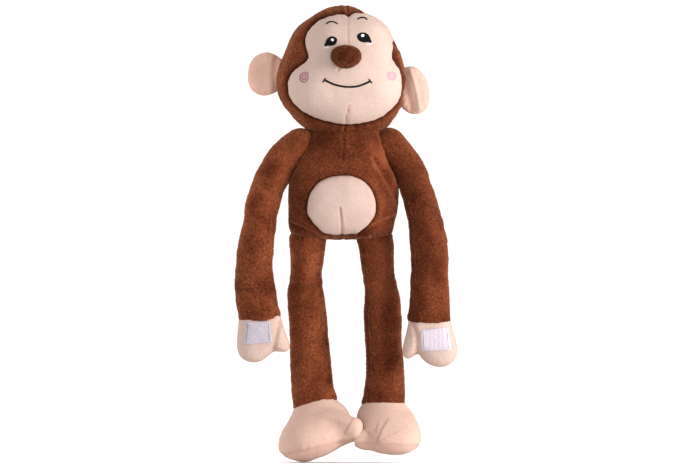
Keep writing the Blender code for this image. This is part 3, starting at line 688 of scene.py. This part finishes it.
# Lumps as (x, z, reach along x, reach along z, height)
FACE_LUMPS = [
    (-37, 371, 17, 17, 4), (35, 371, 17, 17, 4), (-21, 429, 17, 14, 2.2),
    (23, 430, 17, 14, 2.2), (0, 350, 22, 10, 2), (-1, 391, 22, 9, 1.8),
    (-42, 405, 8, 10, -2.5), (46, 405, 8, 10, -2.5),
]
FOREHEAD_DART = [(1.5, 447), (0.5, 432), (1, 417)]
CHIN_DART = [(2, 357), (0, 347), (-2, 334)]
NOSE_CREASE = [(-7, 403), (-6, 397), (-9, 391)]
FACE_FOLDS = [(CHIN_DART, 0.8, 1.1, 0), (FOREHEAD_DART, 0.45, 1), (NOSE_CREASE, 0.8, 1.4)]
FACE_PUFF = 1.5
FACE_GATHERS = (9, 0.35)
CROWN_SEAM = ([(-2.5, 462), (1.5, 447)], 1, 1.6, 0.2)
BACK_SEAM = ([(-3, 462), (-2, 336)], 1.4, 1.4)
CHIN_SEAM = ([(-2, 338), (-3, 326)], 1.6, 1.4)
HEAD_BEND = ("head", (0, 0, 333), (0, 0, 346))


def head_relief(points, normals):
    """Cheeks, forehead and darts of the stuffed head."""
    x, z = points[..., 0], points[..., 2]
    lift = sum(height * spot(x, z, *place) for *place, height in FACE_LUMPS)
    lift += folds_of(points, FACE_FOLDS)
    ahead = np.clip(-normals[..., 1] * 1.6, 0, 1)
    return lift * ahead + uneven(points, ((0.5, 18, 4), (0.22, 7, 5)))


def head_cover_relief(points, normals):
    """The head's relief with the seams of its plush cover."""
    lift = head_relief(points, normals)
    lift += fold(points, *CROWN_SEAM) * (normals[..., 1] < 0.4)
    lift += fold(points, *BACK_SEAM) * (normals[..., 1] > 0)
    return lift + fold(points, *CHIN_SEAM) * (normals[..., 1] < 0)


def build_head():
    plush, under_face = cover(FACE_LINE, HEAD, head_cover_relief, 1.6, FACE_GATHERS, 0.6)
    build("head_cover", grow_pile(plush, bare=under_face), BROWN, "neck",
          ("head_cover_right", "head_cover_left", "head_filling", "neck_filling"), HEAD_BEND)
    face = panel(FACE_LINE, FACE_MIDDLE, HEAD, head_relief, FACE_PUFF, FACE_GATHERS,
                 ((CHIN_DART, 0.9, 0.75), (FOREHEAD_DART, 0.9, 0.3)))
    build("face", face, PEACH, "neck", ("face_panel",), HEAD_BEND)


def build_nose():
    rows = [(-1, -56, 404.8 + 11.5 * math.cos(turn),
             max(15.3 * math.sin(turn), 0.3) * (1 + 0.07 * math.cos(turn)),
             max(13 * math.sin(turn), 0.3)) for turn in np.linspace(0, math.pi, 28)]
    grid = rings(smooth_rows(rows), level=True, power=2.15)
    grid = grid + grid_normals(grid) * (0.5 * noise(grid, 8, 21))[..., None]
    surface = grow_pile(tube(grid, grid_normals(grid)), 0.5)
    build("nose_cover", surface, NOSE_BROWN, "head", ("nose",))


# ---- embroidery

EYES = {
    "right": [(-9.6, 419.4), (-10.4, 422), (-13.3, 423.4), (-16.8, 422.8), (-19.6, 420.4),
              (-21.4, 416.6), (-22.2, 414), (-18.8, 414.6), (-14.9, 414.5), (-11.4, 415.8)],
    "left": [(9.4, 423.4), (10.6, 426), (14, 427.4), (17.8, 426.8), (21, 424), (22.8, 420.2),
             (23.8, 417.4), (20, 418), (15.8, 417.9), (11.6, 419.6)],
}
EYE_LIGHTS = {"right": (-14, 419.6), "left": (14.6, 424)}
EYE_CRESCENTS = {
    "right": [(-23, 415.2), (-21.4, 413), (-17.4, 412.6)],
    "left": [(18.5, 416), (22.6, 416.2), (24.6, 418.2)],
}
BROWS = {
    "right": [(-20.2, 434.8), (-17.6, 437), (-14.6, 437.7), (-11.8, 437.1), (-9, 435.4)],
    "left": [(9.8, 440.4), (12.2, 442), (15, 442.3), (17.6, 441.7), (19.5, 439.8)],
}
MOUTH = [(-21.6, 381.4), (-14, 377.6), (-6, 375.4), (1.4, 374.6), (9.4, 375.2), (16.4, 377.6),
         (22, 380.4)]
MOUTH_TICKS = [[(-23.6, 379), (-22, 381.4), (-20.4, 383.4)],
               [(20.6, 382.8), (22.2, 380.4), (24, 378.2)]]
# Spirals as (x, z, radius, angle at the outer end)
CHEEKS = {"right": (-41, 383.6, 5.4, 0.6), "left": (43.2, 386, 5, 2.4)}
# A pad's rings: share of the outline, and share of the thickness there
PAD_SHARES = np.array([0.02, 0.3, 0.55, 0.75, 0.88, 0.96, 1.0, 1.02])
PAD_HEIGHTS = np.array([1, 0.98, 0.93, 0.82, 0.62, 0.36, 0.0, -0.8])
STRIP_STEPS = 6


def on_face(x, z, lift):
    """Points that stand lift above the finished face, and their normals."""
    grid, normals = front_of(HEAD, x, z)
    height = head_relief(grid, normals) + FACE_PUFF + lift
    return grid + normals * height[..., None], normals


def pad(outline, thick, lift=0.0):
    """A rounded raised pad of an outline on the face."""
    height = (PAD_HEIGHTS * thick + lift)[:, None]
    return tube(*on_face(*fan(outline, outline.mean(axis=0), PAD_SHARES), height))


def stitched_line(line, width, thick, step=0.6):
    """A raised band of satin stitches on the face, rounded at its ends."""
    line = smooth_rows(line, step)
    along = unit(np.gradient(line, axis=0))
    across = np.stack([-along[:, 1], along[:, 0]], axis=1)
    gone = travelled(line)
    ends = np.minimum(gone, gone[-1] - gone)
    taper = np.sqrt(np.clip(ends / (width * 0.6), 0.02, 1))[:, None]
    turn = np.linspace(-math.pi / 2, math.pi / 2, STRIP_STEPS + 1)
    flat = line[:, None] + across[:, None] * (np.sin(turn) * taper * width / 2)[..., None]
    lift = (np.cos(turn) * 1.2 - 0.2) * thick * taper
    grid, normals = on_face(flat[..., 0], flat[..., 1], lift)
    return Surface(grid, normals, grid_quads(*grid.shape[:2], closed=False))


def spiral(x, z, radius, start):
    """A flat spiral of two turns that winds in to its centre."""
    share = np.linspace(0, 1, 40)
    reach = radius * (1 - 0.85 * share)
    turn = start + share * 4.2 * math.pi
    return np.stack([x + reach * np.cos(turn), z + reach * np.sin(turn)], axis=1)


def build_embroidery():
    # The right cheek's spiral has the darker copy of the pink thread, as painted shade
    for side, pink in (("right", SHADED_PINK_THREAD), ("left", PINK_THREAD)):
        turn = circle(14)
        dot = EYE_LIGHTS[side] + np.stack([1.5 * np.cos(turn), 1.35 * np.sin(turn)], axis=1)
        eye = pad(smooth_rows(EYES[side], 0.8, True), 1.2)
        cheek = stitched_line(spiral(*CHEEKS[side]), 0.95, 0.6, 0.4)
        for name, surface, finish, *nodes in (
                ("eye_stitching", eye, BLACK_THREAD, "eye"),
                ("eye_light", pad(dot, 0.7, 1.1), WHITE_THREAD, "eye_highlight"),
                ("eye_white", stitched_line(EYE_CRESCENTS[side], 0.75, 0.4), WHITE_THREAD),
                ("brow_stitching", stitched_line(BROWS[side], 1.3, 0.6), BLACK_THREAD, "brow"),
                ("cheek_stitching", cheek, pink, "cheek_spiral")):
            build(f"{side}_{name}", surface, finish, "head", [f"{side}_{node}" for node in nodes])
    build("mouth_stitching", stitched_line(MOUTH, 2.0, 0.8), BLACK_THREAD, "head", ("mouth",))
    for k, line in enumerate(MOUTH_TICKS):
        build(f"mouth_tick_{k + 1}", stitched_line(line, 1.4, 0.8), BLACK_THREAD, "head")


# ---- pillows: ears and hands

# Ears as (outline, middle, finish, bend, creases, hollows), and hands as (outline, middle, kind
# of tape, its finish, its corners, creases). Creases of the front panel are (line, width, depth,
# shade), and hollows are (place, depth, shade).
EARS = {
    # The right ear's peach is painted lighter, as painted light
    "right": (RIGHT_EAR, (-80, 388), LIT_PEACH, ((-66, 4, 388), (-78, 4, 388)),
              [([(-71, 404), (-73, 388), (-71, 372)], 3.2, 2.2, 0.5)],
              [((-84, 388, 9, 13), 2, 0.1)]),
    "left": (LEFT_EAR, (68, 372), WARM_PEACH, ((56, 4, 373), (68, 4, 373)),
             [([(58, 389), (60, 372), (65, 352)], 4, 1.6, 0.55),
              ([(64, 392), (69, 374), (73, 353)], 2, -0.9, 0)], []),
}
HANDS = {
    "right": (RIGHT_HAND, (-87, 125), "loop", LOOP_TAPE,
              [(-100, 140), (-77, 141), (-75, 120), (-103, 118)],
              [([(-67, 140), (-71, 126), (-73, 113)], 2.4, 2, 0.35)]),
    "left": (LEFT_HAND, (83, 122), "hook", HOOK_TAPE,
             [(73.6, 132), (101, 135), (103.4, 113), (75, 111.4)],
             [([(66, 140), (70, 125), (70, 109)], 2.4, 2.2, 0.4)]),
}
# Depth of the mid-plane, as heights and the depths there
EAR_DEPTH = ((340, 420), (3, 3))
HAND_DEPTH = ((100, 150), (-35, -30.5))
PATCH_RISE = 1.2
PALM_BLUR = 12


def relax(field, rounds):
    """Evens out a field on a fan of rings."""
    for _ in range(rounds):
        up = np.vstack([field[:1], field[:-1]])
        down = np.vstack([field[1:], field[-1:]])
        field[:-1] = (0.25 * (np.roll(field, 1, 1) + np.roll(field, -1, 1) + up + down))[:-1]
    return field


def pillow(outline, middle, depth, height, edge, creases, hollows, seed):
    """Two panels sewn together round an outline and stuffed, full at edge from it."""
    line = smooth_rows(outline, STEP * 1.3, closed=True)
    steps = int(np.linalg.norm(line - middle, axis=1).mean() / STEP) + 3
    x, z = fan(line, middle, np.sin(np.linspace(0.01, math.pi / 2, steps)))
    gap = distance_to(x, z, line, True)
    bulge = height * np.sqrt(np.clip(1 - (1 - np.clip(gap / edge, 0, 1)) ** 2, 0, 1))
    bulge = relax(bulge, 10)
    bulge[-1] = 0
    mid = np.interp(z, *depth)
    points = np.dstack([x, mid, z])
    gathers = puckers(gap, line, points, 7, 0.35) * (bulge > 0)
    lumps = 0.5 * noise(points, 11, seed) * (gap > 1)
    front = mid - bulge + np.minimum(gathers, bulge) - lumps
    # Painted shade in the seam round the edge, and in the creases and hollows
    seam = 0.35 * np.exp(-gap / 1.8)
    accent = seam.copy()
    marks = [(groove(x, z, line, width), *rest) for line, width, *rest in creases]
    marks += [(spot(x, z, *place), *rest) for place, *rest in hollows]
    for share, sink, shade in marks:
        front = front + sink * share
        accent += shade * share
    back = np.dstack([x, mid + bulge - lumps, z])[:-1][::-1]
    grid = np.concatenate([np.dstack([x, front, z]), back])
    normals = front_facing(grid_normals(grid), len(x) // 2)
    return tube(grid, normals, np.concatenate([np.clip(accent, 0, 1), seam[:-1][::-1]]))


def build_ears():
    for side, (outline, middle, finish, bend, creases, hollows) in EARS.items():
        surface = pillow(outline, middle, EAR_DEPTH, 6.5, 10, creases, hollows, 3)
        build(f"{side}_ear_cover", surface, finish, "head",
              (f"{side}_ear_front", f"{side}_ear_back"), (f"{side}_ear", *bend))


def build_hands():
    for side, (outline, middle, kind, finish, corners, creases) in HANDS.items():
        body = f"{side}_hand"
        surface = pillow(outline, middle, HAND_DEPTH, 12.3, 15, creases, [], 5)
        build(f"{side}_mitten", surface, PEACH, body,
              (f"{side}_palm_panel", f"{side}_hand_back_panel", f"{side}_hand_filling"))
        palm = surface.points[surface.normals[:, 1] < -0.2]
        build(f"{side}_{kind}_tape", patch(corners, palm), finish, body,
              (f"{side}_palm_{kind}_patch",))
        build(f"{side}_tape_stitches", stitches(corners, palm), TAPE_THREAD, body)


def on_patch(corners, palm, u, v, rise):
    """Points on a patch from shares of its width and height, and their rise off the palm."""
    corners = np.array(corners, float)
    u, v, rise = np.broadcast_arrays(u, v, rise)
    left, right, low = (1 - u) / 2, (1 + u) / 2, (1 - v) / 2
    weights = (left * (1 - low), right * (1 - low), right * low, left * low)
    x, z = (sum(weight * corner[i] for weight, corner in zip(weights, corners)) for i in (0, 1))
    reach = (x[..., None] - palm[:, 0]) ** 2 + (z[..., None] - palm[:, 2]) ** 2
    nearness = np.exp(-reach / PALM_BLUR)
    depth = (nearness * palm[:, 1]).sum(axis=-1) / nearness.sum(axis=-1)
    return np.stack([x, depth - rise, z], axis=-1)


def patch(corners, palm):
    """A square of fastener tape on the palm, with its edge turned down."""
    shares = np.r_[-1.03, -1.02, -1, np.linspace(-0.96, 0.96, 30), 1, 1.02, 1.03]
    rise = np.r_[-3.0, 0.4, 1.0, np.full(30, PATCH_RISE), 1.0, 0.4, -3.0]
    u, v = np.meshgrid(shares, shares[::-1])
    ragged = 1 + 0.02 * noise(np.dstack([u * 12, v * 12, v * 0]), 1.6, 17)
    grid = on_patch(corners, palm, u * ragged, v * ragged, np.minimum(rise[None], rise[:, None]))
    grid[..., 1] -= 0.2 * noise(grid, 1.8, 18)
    normals = unit(np.cross(np.gradient(grid, axis=0), np.gradient(grid, axis=1)))
    quads = grid_quads(*grid.shape[:2], closed=False)
    return Surface(grid, front_facing(normals, len(grid) // 2), quads)


def stitches(corners, palm):
    """Thread stitches all round a patch, just inside its edge."""
    places = []
    for k in np.arange(-0.84, 0.85, 0.14):
        places += [(k, 0.86, 1, 0), (k, -0.86, 1, 0), (0.86, k, 0, 1), (-0.86, k, 0, 1)]
    turn = circle(6)
    points, normals, quads = [], [], []
    for u, v, du, dv in places:
        quads.append(grid_quads(4, 6, start=len(points) * 6))
        for share, radius in ((-0.05, 0.08), (-0.035, 0.22), (0.035, 0.22), (0.05, 0.08)):
            centre = on_patch(corners, palm, u + du * share, v + dv * share, PATCH_RISE)
            out = np.outer(np.cos(turn), (dv, 0, du)) + np.outer(np.sin(turn), (0, -1.0, 0))
            points.append(centre + out * radius)
            normals.append(out)
    return Surface(np.vstack(points), np.vstack(normals), np.vstack(quads))


# ---- torso

TORSO_FOLDS = [
    ([(27, 303), (38, 284), (49, 262)], 2.4, 2.6), ([(34, 330), (42, 300), (52, 274)], 2, 2.4),
    ([(-56, 239), (-41, 233), (-25, 224)], 2.2, 2.2), ([(49, 246), (31, 239), (13, 227)], 2.2, 2.2),
    ([(-52, 262), (-47, 250), (-38, 240)], 1.2, 2.2),
    ([(-34, 330), (-46, 305), (-57, 284)], 2, 2.4),
    ([(-4, 331), (-3.5, 318), (-4, 302)], 1, 1.6),
]
TORSO_BACK_SEAM = ([(-3, 331), (-4, 226)], 1.6, 1.5)
BELLY_DART = [(-7, 254), (-5.5, 240), (-4, 224)]
BELLY_GATHERS = (13, 0.3)


def torso_relief(points, normals):
    """Folds of the stuffed torso, and its seam down the back."""
    front, back = np.clip(-normals[..., 1] * 2, 0, 1), np.clip(normals[..., 1] * 2, 0, 1)
    return (folds_of(points, TORSO_FOLDS) * front + fold(points, *TORSO_BACK_SEAM) * back
            + uneven(points, ((0.9, 22, 11), (0.35, 8, 12))))


def belly_relief(points, normals):
    """The torso's relief with the dart of the belly patch."""
    return torso_relief(points, normals) + fold(points, BELLY_DART, 1.0, 1.2, 0.1)


def build_torso():
    plush, under_belly = cover(BELLY_LINE, TORSO, torso_relief, 1.2, BELLY_GATHERS, 0.45,
                               plain_above=320)
    # Painted light: the pile on the toy's left, the side that the key light falls on, is painted
    # lighter
    lit_side_sheen = 0.75 + 1.7 / (1 + np.exp((20 - plush.points[:, 0]) / 7))
    build("torso_cover", grow_pile(plush, bare=under_belly, painted_sheen=lit_side_sheen), BROWN, "torso",
          ("torso_front", "torso_back", "torso_filling"), ("neck", (0, 0, 317), (0, 0, 332)))
    belly = panel(BELLY_LINE, BELLY_MIDDLE, TORSO, belly_relief, 1.8, BELLY_GATHERS,
                  ((BELLY_DART, 1.0, 0.75),))
    build("belly", belly, PEACH, "torso", ("belly_patch",))


# ---- arms and legs

ANKLE_SLANT = {"right": 0.18, "left": 0}
BALL = 17.5
# Kinds of limb as (bodies from the top down, pieces, nodes that each piece hides)
LIMB_KINDS = {
    "arm": (("upper_arm", "forearm", "hand"), ("sleeve_top", "sleeve_elbow", "sleeve_end"),
            (("sleeve_cap", "upper_sleeve", "upper_arm_filling"), ("forearm_filling",),
             ("lower_sleeve",))),
    "leg": (("thigh", "shin", "foot"), ("leg_top", "leg_knee", "leg_end"),
            (("leg_cap", "thigh_cover", "thigh_filling"), ("shin_filling",), ("shin_cover",))),
}
# Limbs as (kind, side, top joint, rows, seed, slant of the lower end, heights of the cuts, of the
# bend at elbow or knee and of the bend at wrist or ankle, painted sheen, folds). A painted sheen
# lightens or darkens the pile as light falls on the limb: a level, what is added to it over a
# stretch, and the axis, start and length of that stretch.
LIMBS = [
    ("arm", "right", (-47, -4, 317), RIGHT_ARM, 40, 0, (282, 196), (270, 212), (168, 146),
     (1.15, 0.7, 2, 200, 90),
     [([(-92, 283), (-76, 268)], 1.2, 3), ([(-108, 176), (-92, 168), (-74, 171)], 0.9, 3),
      ([(-100, 250), (-84, 240)], 0.9, 3), ([(-106, 214), (-90, 208), (-76, 214)], 0.9, 3.5)]),
    ("arm", "left", (42, -4, 317), LEFT_ARM, 50, -0.12, (286, 200), (274, 216), (166, 144),
     (0.72, 0.1, 0, 76, 8),
     [([(88, 268), (74, 258)], 1.2, 3), ([(63, 186), (80, 180), (99, 186)], 0.9, 3),
      ([(92, 232), (76, 224)], 0.9, 3)]),
    ("leg", "right", (-39.5, 5, 221), RIGHT_LEG, 60, ANKLE_SLANT["right"], (184, 106), (172, 117),
     (80, 59), (1.5, 0, 2, 0, 1),
     [([(-56, 204), (-40, 198), (-25, 206)], 1, 3),
      ([(-60, 157), (-40, 154), (-22, 161)], 1.8, 4),
      ([(-50, 172), (-34, 178), (-24, 176)], 0.9, 3), ([(-46, 118), (-30, 124)], 0.9, 3.5),
      ([(-58, 88), (-38, 84), (-20, 92)], 1, 4)]),
    ("leg", "left", (28, 5, 221), LEFT_LEG, 70, ANKLE_SLANT["left"], (184, 106), (172, 117),
     (80, 59), (0.8, 0.75, 2, 95, 60),
     [([(46, 206), (30, 199), (16, 204)], 1, 3), ([(54, 170), (38, 160), (22, 158)], 1.6, 4),
      ([(56, 128), (44, 120), (30, 122)], 1.3, 4), ([(48, 186), (34, 182)], 0.8, 3),
      ([(54, 84), (36, 80), (20, 86)], 1, 4)]),
]
# Over how far the gathers of a limb's lower end fade, and over how far its slant does
END_GATHERS, END_SLANT = 9, 22


def ball_top(centre, first):
    """Rows that close a limb's top as a ball round its joint."""
    way = unit(np.subtract(first[:3], centre))
    rows = []
    for turn in np.linspace(0.03, math.pi / 2 * 0.92, 7):
        ring = BALL * math.sin(turn)
        rows.append((*(centre - way * BALL * math.cos(turn)), ring, ring * 0.96))
    return rows


def seam_share(normals, inner):
    """How close points are to the seam along a limb's inner front, from 0 to 1."""
    return np.clip(normals[..., 0] * inner * 0.8 - normals[..., 1] * 0.6, 0, 1) ** 90


def limb_relief(points, normals, seed, inner):
    """Soft lumps, wrinkles across the limb and its seam."""
    lumps = uneven(points, ((1.1, 24, seed), (0.4, 9, seed + 1)))
    wrinkles = 0.45 * noise(points * (0.45, 0.45, 1.0), 6, seed + 2)
    return lumps + wrinkles - 1.5 * seam_share(normals, inner)


def build_limb(kind, side, joint, rows, seed, slant, cuts, bend, turn, painted_sheen, folds):
    """A limb's plush tube in three pieces: top, middle joint and lower end."""
    bodies, pieces, hides = LIMB_KINDS[kind]
    inner = 1 if side == "right" else -1
    rows = smooth_rows(ball_top(joint, rows[0]) + rows)
    above_end = rows[:, 2] - rows[-1, 2]
    grid = rings(rows)
    normals = grid_normals(grid)
    lift = limb_relief(grid, normals, seed, inner)
    lift += folds_of(grid, folds) * np.clip(-normals[..., 1] * 2, 0, 1)
    gathers = 0.2 * np.sin(circle(grid.shape[1]) * 13 + seed)
    lift += np.clip(1 - above_end / END_GATHERS, 0, 1)[:, None] * gathers
    grid = grid + normals * lift[..., None]
    falling = np.clip(1 - above_end / END_SLANT, 0, 1)[:, None] ** 2
    grid[..., 2] += slant * falling * (grid[..., 0] - rows[:, None, 0])
    normals = grid_normals(grid)
    middle = grid[-1].mean(axis=0)
    tucked = middle + (grid[-1:] - middle) * 0.8 + (0, 0, 5.0)
    grid = np.concatenate([grid, tucked])
    normals = np.concatenate([normals, normals[-1:]])
    # Painted shade along the seam groove on the limb's inner front, the side that faces the body
    accent = np.clip(0.75 * seam_share(normals, inner), 0, 1)

    upper, lower, end = (f"{side}_{body}" for body in bodies)
    over_middle, over_end = ([(0, 0, z) for z in heights] for heights in (bend, turn))
    holds = ((upper, None), (upper, (lower, *over_middle)), (lower, (end, *over_end)))
    first, second = (int(np.argmin(np.abs(rows[:, 2] - z))) for z in cuts)
    spans = slice(0, first + 1), slice(first, second + 1), slice(second, None)
    level, more, axis, start, length = painted_sheen
    for piece, nodes, (body, over), span in zip(pieces, hides, holds, spans):
        surface = tube(grid[span], normals[span], accent[span])
        # Painted sheen: the pile is painted lighter or darker along a stretch, as light falls on
        # the limb
        light = level + more * np.clip((surface.points[:, axis] - start) / length, 0, 1)
        build(f"{side}_{piece}", grow_pile(surface, painted_sheen=light), BROWN, body,
              [f"{side}_{node}" for node in nodes], over)


# ---- feet

FOOT_VOXEL = 4.0
STUFFING_FRAMES = 20
STUFFING_PRESSURE = 4.0
STUFFING_REACH = 1.6
CREASE_WIDTH, CREASE_LIP = 1.2, 0.2
# Feet as (rows, rows of the toe, middle, height of the sole seam there and its slope, creases),
# and creases as (line, depth)
FEET = {
    "right": (RIGHT_FOOT, RIGHT_TOE, -40, (13, -0.22),
              [([(7, 46), (2, 38), (-2, 29)], 1.2), ([(-38, 16), (-41, 6)], 0.7),
               ([(-46, 18), (-50, 8)], 0.6), ([(-29, 15), (-30, 7)], 0.6),
               ([(-8, 30), (-14, 24)], 0.6)]),
    "left": (LEFT_FOOT, LEFT_TOE, 47, (18.5, 0.03),
             [([(30, 22), (34, 33), (41, 44)], 1.3), ([(30, 21), (29, 33), (31, 41)], 0.9),
              ([(29, 20), (22, 29), (17, 35)], 1), ([(31, 20), (41, 27), (51, 31)], 0.8),
              ([(56, 40), (63, 32)], 0.6)]),
}


def finished(holder):
    """The places, normals and quads that an object's modifiers give; the object goes."""
    bpy.context.view_layer.update()
    result = holder.evaluated_get(bpy.context.evaluated_depsgraph_get()).to_mesh()
    places, normals = np.empty((2, len(result.vertices) * 3))
    result.vertices.foreach_get("co", places)
    result.vertex_normals.foreach_get("vector", normals)
    quads = [list(p.vertices) for p in result.polygons if len(p.vertices) == 4]
    bpy.data.objects.remove(holder)
    return places.reshape(-1, 3), normals.reshape(-1, 3), quads


def stuffed(places, quads):
    """Where a closed skin comes to rest as cloth with stuffing inside."""
    holder = mesh_object("working", places, quads)
    cloth = holder.modifiers.new("cloth", "CLOTH").settings
    cloth.quality = 6
    cloth.use_pressure = True
    cloth.uniform_pressure_force = STUFFING_PRESSURE
    cloth.effector_weights.gravity = 0.0
    for step in range(1, STUFFING_FRAMES + 1):
        bpy.context.scene.frame_set(step)
    moved, _, _ = finished(holder)
    bpy.context.scene.frame_set(1)
    push = np.nan_to_num(moved - places)
    length = np.linalg.norm(push, axis=1, keepdims=True)
    return places + push * np.minimum(1, STUFFING_REACH * MM / np.maximum(length, 1e-9))


def merged(grids):
    """One stuffed skin round several closed ring grids."""
    points, faces, start = [], [], 0
    for grid in grids:
        count, sides = grid.shape[:2]
        end = start + count * sides
        points.append(grid.reshape(-1, 3) * MM)
        faces += grid_quads(count, sides, start).tolist()
        faces += [list(range(start, start + sides)), list(range(end - sides, end))[::-1]]
        start = end
    holder = mesh_object("working", np.vstack(points), faces)
    remesh = holder.modifiers.new("voxels", "REMESH")
    remesh.mode = "VOXEL"
    remesh.voxel_size = FOOT_VOXEL * MM
    holder.modifiers.new("ease", "SMOOTH").iterations = 3
    places, _, quads = finished(holder)
    places = stuffed(places, quads)
    holder = mesh_object("working", places, quads)
    holder.modifiers.new("finer", "SUBSURF").levels = 2
    places, normals, quads = finished(holder)
    return Surface(places / MM, normals, np.array(quads))


def build_feet():
    for side, (rows, toe, middle, (height, slope), creases) in FEET.items():
        body = rings(smooth_rows(rows), level=True, power=2.25)
        high = np.clip((body[..., 2] - 34) / 22, 0, 1)
        body[..., 2] += ANKLE_SLANT[side] * high * (body[..., 0] - rows[1][0])
        surface = merged([body, rings(smooth_rows(toe))])
        x, y, z = surface.points.T
        seam = z - height + slope * (x - middle)
        sewn = np.exp(-(seam / 1.2) ** 2)
        gathers = np.sin(np.arctan2(y + 11, x - middle) * 26) * np.exp(-np.abs(seam) / 4)
        creased = folds_of(surface.points, [(*each, CREASE_WIDTH, CREASE_LIP) for each in creases])
        creased = creased * np.clip(-surface.normals[:, 1] * 2, 0, 1)
        lift = creased - 0.9 * sewn + 0.4 * gathers + 0.7 * noise(surface.points, 14, 81)
        surface.points = surface.points + surface.normals * lift[:, None]
        # Painted shade in the sole seam and in the creases, and a little darker below the seam
        dark = 0.22 * sewn + 0.08 * (seam < 0) - 0.25 * np.minimum(creased, 0)
        surface.accent = np.clip(dark, 0, 1)
        build(f"{side}_slipper", surface, WARM_PEACH, f"{side}_foot",
              (f"{side}_foot_upper", f"{side}_foot_sole", f"{side}_foot_filling"))


# ---- stage, in metres

FLOOR_RADIUS = 6.0
FLOOR_LEVEL = -0.0012
TOY_MIDDLE = (0.0, 0.0, 0.24)
# Lights as (name, place, size, power)
LIGHTS = [("key", (1.9, -0.9, 0.5), 0.9, 66), ("rim", (-1.7, 0.5, 0.9), 1.2, 14)]
CAMERA_AWAY = 10.0
VIEW_WIDTH = 0.7


def aim(made, target):
    """Turns an object's -Z axis to a point."""
    way = Vector(target) - made.location
    made.rotation_euler = way.to_track_quat("-Z", "Y").to_euler()


def build_stage():
    turn = circle(64)
    ring = np.stack([np.cos(turn), np.sin(turn), 0 * turn], axis=1) * FLOOR_RADIUS
    floor = mesh_object("floor", ring + (0, 0, FLOOR_LEVEL), [list(range(len(turn)))])
    pale = Nodes("pale_floor")
    pale.shade({"Base Color": (0.97, 0.97, 0.97), "Roughness": 0.9})
    floor.data.materials.append(pale.material)

    studio = bpy.data.worlds.new("studio")
    studio.use_nodes = True
    background = studio.node_tree.nodes["Background"]
    background.inputs["Color"].default_value = (1, 1, 1, 1)
    background.inputs["Strength"].default_value = 1.1
    bpy.context.scene.world = studio

    for name, place, size, power in LIGHTS:
        lamp = bpy.data.lights.new(name, "AREA")
        lamp.energy = power
        lamp.size = size
        made = link_in(name, lamp)
        made.location = place
        aim(made, TOY_MIDDLE)

    lens = bpy.data.cameras.new("camera")
    lens.sensor_width = 36.0
    lens.lens = lens.sensor_width * CAMERA_AWAY / VIEW_WIDTH
    lens.clip_end = 50
    camera = link_in("camera", lens)
    x, _, z = world((3, 0, 229))
    camera.location = (x, -CAMERA_AWAY, z)
    aim(camera, (x, 0, z))
    bpy.context.scene.camera = camera


bpy.context.scene.view_settings.view_transform = "Standard"
build_stage()
build_torso()
build_head()
build_embroidery()
build_nose()
build_ears()
for limb in LIMBS:
    build_limb(*limb)
build_hands()
build_feet()
